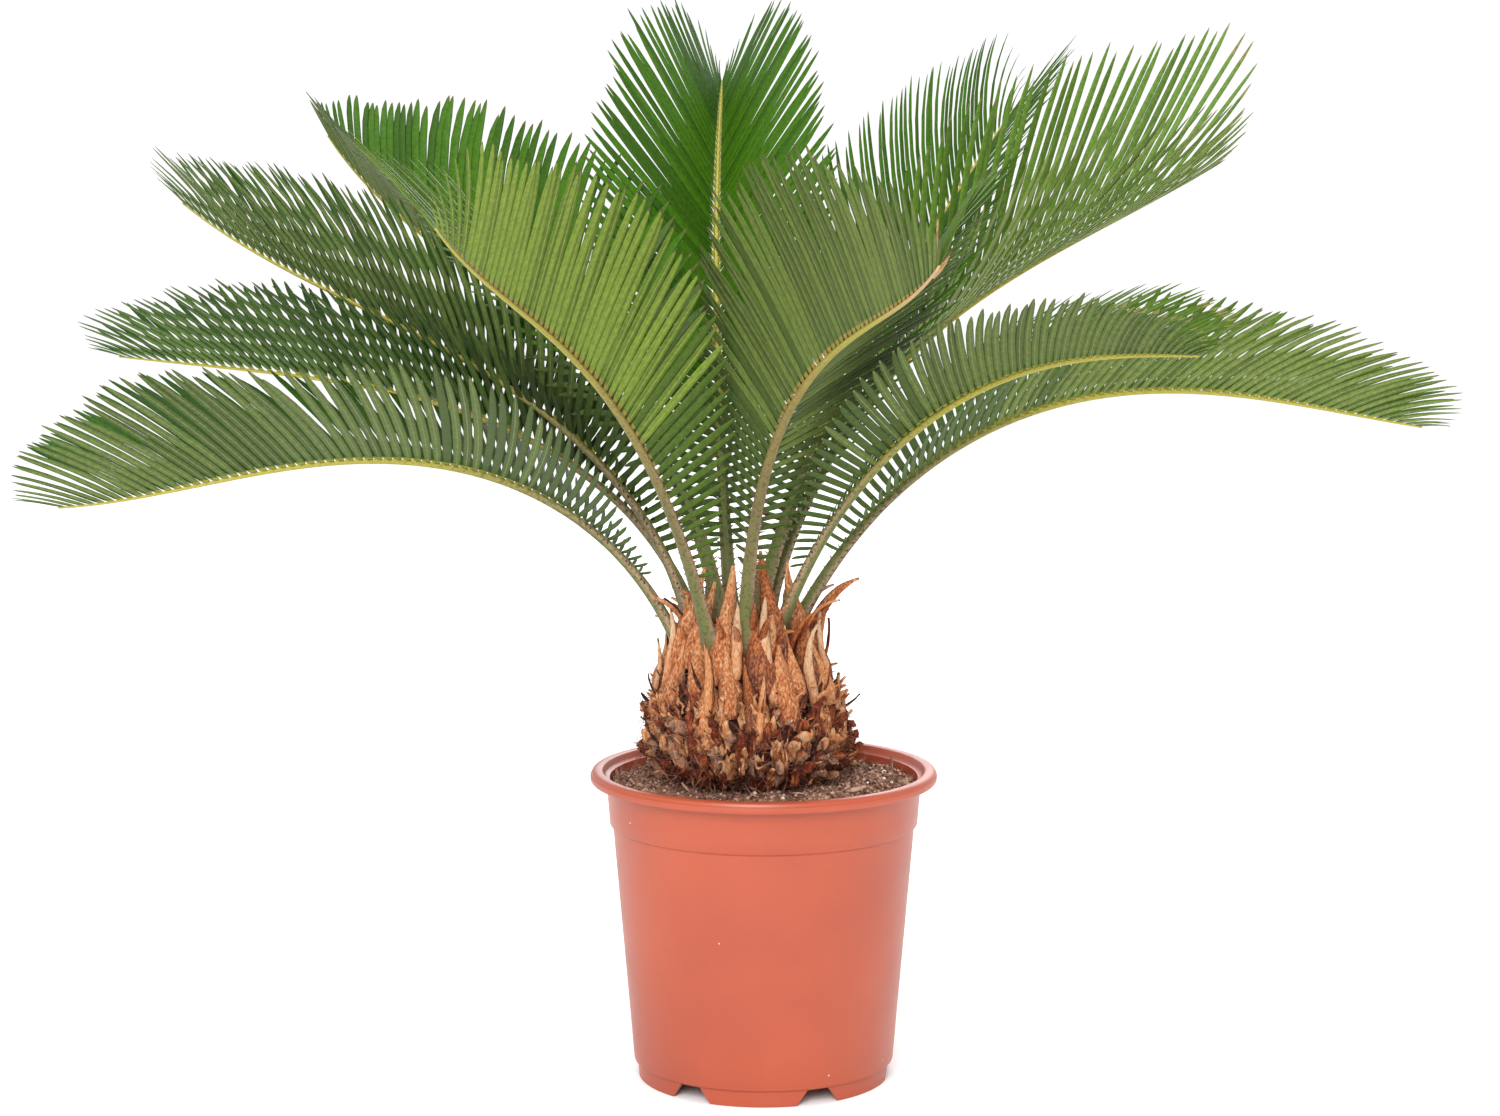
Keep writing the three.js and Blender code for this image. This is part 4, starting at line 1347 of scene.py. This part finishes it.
class PALM_OT_trunk(Operator):
    """Raise the trunk: fibrous core, frayed flaps and stubs below, woolly leaf bases above"""

    bl_idname = "palm.trunk"
    bl_label = "Trunk"

    def shag(self, settings, fibrous):
        """The kinds of scrap round the trunk, in the order in which they are drawn."""
        deep, rust, tan, cream, umber, bark, dry = chosen_colours(
            settings, "deep", "rust", "tan", "cream", "umber", "bark", "dry")
        wool = wool_material("rust_wool", (deep, rust, tan, cream))
        pale_wool = wool_material("tan_wool", (rust, tan, tan, cream))
        dull_wool = wool_material("brown_wool", (umber, bark, rust, tan))
        paper = wool_material("cream_paper", (rust, tan, cream, cream))
        shaggy = felt_material("shaggy_bark", (umber, dry, tan), 700)
        reddish = felt_material("reddish_bark", (umber, deep, rust), 700)
        weathered = felt_material("weathered_flap", (bark, tan, cream), 520)

        tongues = slab_meshes("tongue", 4, 0, lambda i: Slab(
            58 - 4 * i, 15.5 + i, 10, TONGUE, (10, -14, 2 + 5 * i), 34, across=8, along=14))
        papers = slab_meshes("paper", 4, 7, lambda i: Slab(
            36 + 5 * i, 5.6 + 0.8 * i, 1.2, STRAP, (14 - 6 * i, -16, 16 + 8 * i), 50, 0.2, True,
            5, 12))
        flaps = slab_meshes("flap", 5, 20, lambda i: Slab(
            12 + 1.5 * i, 10 - i, 0.8, BLUNT, (5, 20, 64 - 22 * i), 66, 0.9, True, 8, 7))
        stubs = slab_meshes("stub", 3, 40, lambda i: Slab(
            13 + 2 * i, 6 + i, 5, SPLINTER, (20, 5, 12), 26, 0.7, across=8, along=8))
        shreds = slab_meshes("shred", 4, 90, lambda i: Slab(
            9 + 2 * i, 1.6 + 0.5 * i, 0.6, SPLINTER, (-4, 8, 12 + 14 * i), 30, 0.5, True, 2, 6))
        spikes = slab_meshes("spike", 3, 110, lambda i: Slab(
            20 + 4 * i, 2.2, 0.8, NEEDLE, (20, 5, -8 * i), 30, 0, True, 3, 8))
        # name, count, zone, sink, lean, sizes, tones, shapes, materials, roughening, grain
        return [
            Shag("woolly_leaf_bases", settings.bases, (20, 66), 3, (), (0.84, 1.15),
                 (0, 0, 0, 1, 2), tongues, (wool, pale_wool, dull_wool), 1.7, 190,
                 upright=INWARD_LEAN, left_tones=(0, 1, 1)),
            Shag("papery_scales", settings.papers, (24, 64), -1.5, (), (0.75, 1.15),
                 (0, 0, 1), papers, (paper, pale_wool, paper), 2.4, 130,
                 upright=INWARD_LEAN * 0.8),
            Shag("frayed_flaps", settings.flaps, (0, 28), 3.5, (0.05, 0.6), (0.6, 1.15),
                 (0, 1, 1, 2), flaps, (weathered, reddish, shaggy), 7, 170),
            Shag("broken_stubs", settings.stubs, (0, 34), 6.5, (0.05, 0.35), (0.7, 1.2),
                 (0, 1, 1, 2), stubs, (wool, reddish, shaggy), 9, 190),
            Shag("torn_shreds", settings.shreds, (0, 46), 3, (-0.15, 0.25), (0.6, 1.3),
                 (0, 1, 1, 2), shreds, (reddish, weathered, fibrous), 7, 170),
            Shag("dry_spikes", settings.spikes, (34, 70), 2, (0.5, 1.3), (0.7, 1.2),
                 (0, 1), spikes, (fibrous, reddish, fibrous), 0.8, 160),
        ]

    def execute(self, context):
        settings = context.scene.palm_trunk
        rng = random.Random(settings.seed)
        rust, tan, cream, umber, bark, dry = chosen_colours(
            settings, "rust", "tan", "cream", "umber", "bark", "dry")
        fibrous = felt_material("dark_fibre", (umber, umber, bark), 800)
        core = new_object("trunk_core", core_mesh(settings.relief / MM))
        core.data.shade_smooth()
        core.data.materials.append(fibrous)
        pieces = {row.name: row.build(rng) for row in self.shag(settings, fibrous)}
        bases, flaps = pieces["woolly_leaf_bases"], pieces["frayed_flaps"]

        strands = [strand_mesh(f"fibre_{i}", 8 + 2 * i, 0.18, (2.5 - i, 1 + 1.5 * i))
                   for i in range(4)]
        hairs = [strand_mesh(f"hair_{i}", 1.7 + 0.4 * i, 0.07, (0.4 - 0.2 * i, 0.5), 2)
                 for i in range(3)]
        dark, brown, straw = (mottled_material(f"fibre_{name}", colour, 0.9, 0.2) for name, colour
                              in (("dark", umber), ("brown", bark), ("straw", dry)))
        woolly = [mottled_material(f"hair_{name}", colour, 0.95, 0.1) for name, colour
                  in (("rust", rust), ("tan", tan), ("cream", cream))]
        mark_open(core.data, lambda place: -1 < place.z - SOIL_TOP < CORE_FIBRES_TOP)
        mark_open(bases.data, lambda place: True)
        mark_open(flaps.data, lambda place: True)
        rows = [
            ("trunk_fibres", core, strands, (dark, brown, straw), settings.fibres, (0.7, 1.5), 1.1),
            ("wool_hairs", bases, hairs, woolly, settings.wool, (0.6, 1.3), 0.9),
            ("flap_fibres", flaps, strands, (brown, straw, dark), settings.litter, (0.5, 1.2), 1.6),
        ]
        for i, (name, carrier, *row) in enumerate(rows):
            pieces[name] = strew_shapes(name, carrier.data, *row, settings.seed + i)
        keep_attributes(core.data)
        keep_attributes(bases.data, SHAG_ATTRIBUTES)
        keep_attributes(flaps.data)

        papers = pieces.pop("papery_scales")
        finish_piece(core, ["trunk"])
        for piece in pieces.values():
            finish_piece(piece)
        finish_piece(papers)
        return {"FINISHED"}


class PALM_OT_crown_scales(Operator):
    """Set the curled woolly scales and dry spikes round the feet of the fronds"""

    bl_idname = "palm.crown_scales"
    bl_label = "Crown Scales"

    def execute(self, context):
        settings = context.scene.palm_trunk
        rng = random.Random(settings.seed + 50)
        deep, rust, tan, cream, umber, bark = chosen_colours(
            settings, "deep", "rust", "tan", "cream", "umber", "bark")
        materials = (wool_material("scale_rust", (deep, deep, rust, tan)),
                     wool_material("scale_tan", (deep, rust, tan, cream)),
                     felt_material("scale_spike", (umber, umber, bark), 500))
        spots = []
        for i in range(CROWN_SCALES):
            outward, _ = compass(i * GOLDEN_ANGLE)
            place = Vector((TRUNK_X_TOP, 0, 0)) + outward * rng.uniform(20, 37)
            place.z = CROWN_HEIGHT + rng.uniform(-8, 8)
            growth = (UP + outward * rng.uniform(0.05, 0.6)).normalized()
            scale = rng.uniform(0.75, 1.15)
            tone = rng.choice((0, 0, 0, 1, 1, 2))
            width = scale * (0.4 if tone == 2 else 1)
            spots.append(Spot(place, growth, outward, (width, scale, scale), rng.randrange(4),
                              tone))
        shapes = slab_meshes("crown_scale", 4, 60, lambda i: Slab(
            34 + 4 * i, 7 - 0.6 * i, 1.1, NEEDLE, (-6, 8, 15 + 18 * i), 60, 0.05, True, 4, 12))
        piece = place_shapes("crown_scales_curled", spots, shapes, materials, 0.8, 180)
        finish_piece(piece, ["crown_scales"])
        return {"FINISHED"}


# ---------------------------------------------------------------- fronds


class Station(NamedTuple):
    """A place on a midrib with the directions of its blades."""

    point: Vector
    forward: Vector
    side: Vector
    up: Vector


def midrib(frond):
    """Stations at even steps along a frond's midrib, in millimetres."""

    def directions(at):
        rise = math.radians(bezier(frond.rise, at))
        outward, around = compass(math.radians(bezier(frond.turn, at)))
        return outward * math.cos(rise) + UP * math.sin(rise), -around

    heading, radius, height = frond.foot
    outward, _ = compass(math.radians(heading))
    point = Vector((TRUNK_X_TOP, 0, height)) + outward * radius
    stations = []
    for i in range(CURVE_STEPS + 1):
        at = i / CURVE_STEPS
        forward, side = directions(at)
        up = side.cross(forward)
        roll = math.radians(bezier(frond.roll, at))
        stations.append(Station(point.copy(), forward,
                                side * math.cos(roll) - up * math.sin(roll),
                                up * math.cos(roll) + side * math.sin(roll)))
        point += directions(at + 0.5 / CURVE_STEPS)[0] * (frond.length / CURVE_STEPS)
    return stations


def station_at(stations, at):
    place = at * CURVE_STEPS
    below = min(int(place), CURVE_STEPS - 1)
    point, *aims = (a.lerp(b, place - below) for a, b in zip(stations[below], stations[below + 1]))
    return Station(point, *(aim.normalized() for aim in aims))


def leaflet_length(frond, u, hand):
    start = FIRST_LEAFLET + (1 - FIRST_LEAFLET) * smoothstep(GROWTH_START, frond.full, u)
    fading = frond.fade * smoothstep(*FADE_STRETCH, u)
    end_from = END_STRETCH[0] - (frond.trim if hand > 0 else 0)
    ending = (1 - END_LEAFLET - frond.fade) * smoothstep(end_from, END_STRETCH[1], u)
    return frond.leaflet * start * (1 - fading - ending) * blend(LOW_LENGTHS, u)


LEAFLET_ATTRIBUTES = {"aim_base": "FLOAT_VECTOR", "aim_tip": "FLOAT_VECTOR",
                      "across": "FLOAT_VECTOR", "reach": "FLOAT", "girth": "FLOAT",
                      "pick": "FLOAT", "tip_from": "FLOAT"}


def leaflet_row(frond, stations, pair, hand, rng):
    """Where one leaflet grows from, and its values of LEAFLET_ATTRIBUTES."""
    u = (pair + (HAND_SHIFT if hand > 0 else 0)) / (frond.pairs - 0.75)
    at = BARE_SHARE + (LAST_SHARE - BARE_SHARE) * u
    here = station_at(stations, at)
    spread = math.radians(blend(LEAFLET_ANGLES, u) + frond.opening * blend(OPEN_SHARE, u))
    foot, tip = frond.vee
    tip += frond.lift if hand < 0 else 0
    stand = math.radians(blend([(0, foot - FOOT_STAND), (0.5, foot), (1, tip)], u))
    turning, drop = (math.radians(angle) for angle in frond.bend)

    def aim(share):
        angle = spread - turning * (share - BEND_FROM)
        lift = stand - drop * (share - DROP_FROM)
        outward = here.side * hand * math.cos(lift) + here.up * math.sin(lift)
        return here.forward * math.cos(angle) + outward * math.sin(angle)

    seat = here.side * hand * 0.3 + here.up * 0.62
    girth = frond.width / USUAL_WIDTH * blend(GIRTHS, u) * rng.uniform(0.94, 1.06)
    # leaflets near the foot mostly take the darker low tone, which is partly painted shade
    shaded = rng.random() < smoothstep(LOW_ZONE[1], LOW_ZONE[0], u)
    pick = rng.random() + (2 if shaded else 0)
    tip_from = 1 - frond.dry_tip * smoothstep(0.5, 1, u) * rng.uniform(0.6, 1) - 0.03
    return (to_frame(here.point + seat * blend(RIB_TAPER, at)), aim(0), aim(1),
            here.forward * hand, leaflet_length(frond, u, hand) * MM, girth, pick, tip_from)


def leaflet_mesh(name, frond, rng):
    """Points that the leaflets grow from, with their aims, lengths, widths and tones."""
    stations = midrib(frond)
    places, *columns = zip(*(leaflet_row(frond, stations, pair, hand, rng)
                             for pair in range(-LOW_PAIRS, frond.pairs) for hand in (-1, 1)))
    mesh = new_mesh(name, places)
    for (attribute, kind), values in zip(LEAFLET_ATTRIBUTES.items(), columns):
        fill_attribute(mesh, attribute, values, kind)
    return mesh


def limb_mesh(name, frond, stations):
    """Stalk and midrib in one tapering limb, flatter above, flared at its foot."""
    points, along, edge = [], [], []
    for i in range(LIMB_ROWS + 1):
        at = i / LIMB_ROWS
        here = station_at(stations, at)
        radius = blend(RIB_TAPER, at)
        flare = 1 + 0.5 * smoothstep(LIMB_FLARE, 0, at)
        for x, y in circle(1, LIMB_SIDES):
            across = x * radius * flare * 1.08
            high = y * radius * (0.72 if y > 0 else 0.95)
            points.append(to_frame(here.point + here.side * across + here.up * high))
            along.append(at)
            edge.append(abs(x))
    mesh = mesh_from(name, points, tube_faces(LIMB_ROWS, LIMB_SIDES))
    fill_attribute(mesh, "along", along)
    fill_attribute(mesh, "edge", edge)
    fill_attribute(mesh, "felted", [frond.felt] * len(points))
    fill_attribute(mesh, "torn", [float(frond.torn)] * len(points))
    mesh.shade_smooth()
    return mesh


def spine_spots(stations, rng):
    """Spines along both edges of a stalk."""
    first, last = SPINE_ZONE
    spots = []
    for k in range(SPINE_PAIRS):
        for hand in (-1, 1):
            at = first + (last - first) * (k + rng.uniform(-0.3, 0.3)) / (SPINE_PAIRS - 1)
            here = station_at(stations, at)
            growth = (here.side * hand + here.forward * 0.35 + here.up * 0.3).normalized()
            place = here.point + here.side * hand * blend(RIB_TAPER, at) * 0.95
            size = rng.uniform(0.6, 1.1)
            spots.append(Spot(place, growth, here.forward, (size, size, size * (0.8 + 1.2 * at))))
    return spots


def torn_tip(name, stations, settings):
    """The dry shreds at the end of a torn midrib."""
    torn, frayed, felt = chosen_colours(settings, "torn", "frayed", "felt")
    end = station_at(stations, TORN_FROM)
    spots = [Spot(end.point, TORN_AIM, end.up),
             Spot(end.point + TORN_AIM * 5, TORN_AIM, end.up, kind=1, tone=1),
             Spot(end.point + TORN_AIM * 2, TORN_STUB_AIM, end.up, kind=2)]
    shapes = [slab_mesh("torn_sheath", Slab(13, 3.4, 1.6, SPLINTER, (0, 6, 0), 40, 0.5), 3),
              slab_mesh("torn_thread", Slab(25, 1.7, 0.9, SPLINTER, (4, -5, 2), 20, 0.1), 4),
              slab_mesh("torn_stub", Slab(8, 2.6, 1.2, NEEDLE, (0, 4, 8), 30, 0.3), 5)]
    pale = felt_material("torn_pale", (felt, torn, torn), 500)
    orange = felt_material("torn_orange", (felt, frayed, frayed), 500)
    return place_shapes(name, spots, shapes, (pale, orange, pale), 0.3, 300)


def labelled_fronds():
    return [(f"frond_{i + 1:02d}", frond) for i, frond in enumerate(FRONDS)]


class PALM_OT_midribs(Operator):
    """Make the stalks and midribs of all fronds and the spines on the stalks"""

    bl_idname = "palm.midribs"
    bl_label = "Stalks and Midribs"

    def execute(self, context):
        settings = context.scene.palm_frond
        material = limb_material(settings)
        rng = random.Random(settings.seed + 80)
        spots = []
        for label, frond in labelled_fronds():
            stations = midrib(frond)
            name = f"{label}_midrib"
            piece = new_object(name, limb_mesh(name, frond, stations))
            piece.data.materials.append(material)
            finish_piece(piece, [f"{label}_stalk", f"{label}_rib"])
            spots += spine_spots(stations, rng)
            if frond.torn:
                finish_piece(torn_tip(f"{label}_torn_tip", stations, settings))
        thorn = mottled_material("spine", tuple(settings.thorn), 0.6, 0.5)
        spine = strand_mesh("spine", settings.spine / MM, 0.62, (0, 0.3), 3, 5)
        finish_piece(place_shapes("stalk_spines", spots, [spine], (thorn,) * 3))
        return {"FINISHED"}


class PALM_OT_leaflets(Operator):
    """Grow the leaflets along the midribs of all fronds"""

    bl_idname = "palm.leaflets"
    bl_label = "Leaflets"

    def execute(self, context):
        settings = context.scene.palm_frond
        foot, tan_foot, tip, straw_tip = (mottled_material(f"leaflet_{name}", colour, 0.6, 0.2)
                                          for name, colour in (
            ("foot", tuple(settings.foot)), ("foot_tan", tuple(settings.tan_foot)),
            ("tip", tuple(settings.tip)), ("tip_straw", tuple(settings.straw_tip))))
        section = section_object()
        for i, (label, frond) in enumerate(labelled_fronds()):
            name = f"{label}_leaflets"
            seed = settings.seed + i
            piece = new_object(name, leaflet_mesh(name, frond, random.Random(seed)))
            upper, upper_varied, _, _ = leaf_materials(frond.upper, 0.45, 0.1)
            under, under_varied, vein, low = leaf_materials(frond.under, 0.62, 0.16)
            grow(piece, leaflet_tree(), {
                "Section": section, "Width": settings.width, "Wander": settings.wander,
                "Length spread": settings.spread, "Seed": seed, "Upper": upper,
                "Upper varied": upper_varied, "Under": under, "Under varied": under_varied,
                "Vein": vein, "Low": low, "Foot": tan_foot if frond.felt > 0.5 else foot,
                "Tip": straw_tip if frond.dry_tip else tip})
            finish_piece(piece, [f"{label}_{part}" for part in frond.parts])
        bpy.data.objects.remove(section)
        return {"FINISHED"}


# ---------------------------------------------------------------- panel and running

SETTINGS = {
    "palm_stage": PalmStageSettings,
    "palm_pot": PalmPotSettings,
    "palm_soil": PalmSoilSettings,
    "palm_trunk": PalmTrunkSettings,
    "palm_frond": PalmFrondSettings,
}
OPERATORS = (PALM_OT_stage, PALM_OT_pot, PALM_OT_soil, PALM_OT_trunk, PALM_OT_crown_scales,
             PALM_OT_midribs, PALM_OT_leaflets)


class PALM_PT_panel(Panel):
    """Lists the steps that build the palm"""

    bl_idname = "PALM_PT_panel"
    bl_label = "Sago Palm"
    bl_space_type = "VIEW_3D"
    bl_region_type = "UI"
    bl_category = "Sago Palm"

    def draw(self, context):
        for operator in OPERATORS:
            self.layout.operator(operator.bl_idname)


CLASSES = (*SETTINGS.values(), *OPERATORS, PALM_PT_panel)


def register():
    for kind in CLASSES:
        bpy.utils.register_class(kind)
    for name, kind in SETTINGS.items():
        setattr(bpy.types.Scene, name, PointerProperty(type=kind))


def unregister():
    for name in SETTINGS:
        delattr(bpy.types.Scene, name)
    for kind in reversed(CLASSES):
        bpy.utils.unregister_class(kind)


def main():
    """Builds the whole palm."""
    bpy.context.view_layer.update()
    register()
    bpy.ops.palm.stage()
    bpy.ops.palm.pot()
    bpy.ops.palm.soil()
    bpy.ops.palm.trunk()
    bpy.ops.palm.crown_scales()
    bpy.ops.palm.midribs()
    bpy.ops.palm.leaflets()


if __name__ == "__main__":
    main()
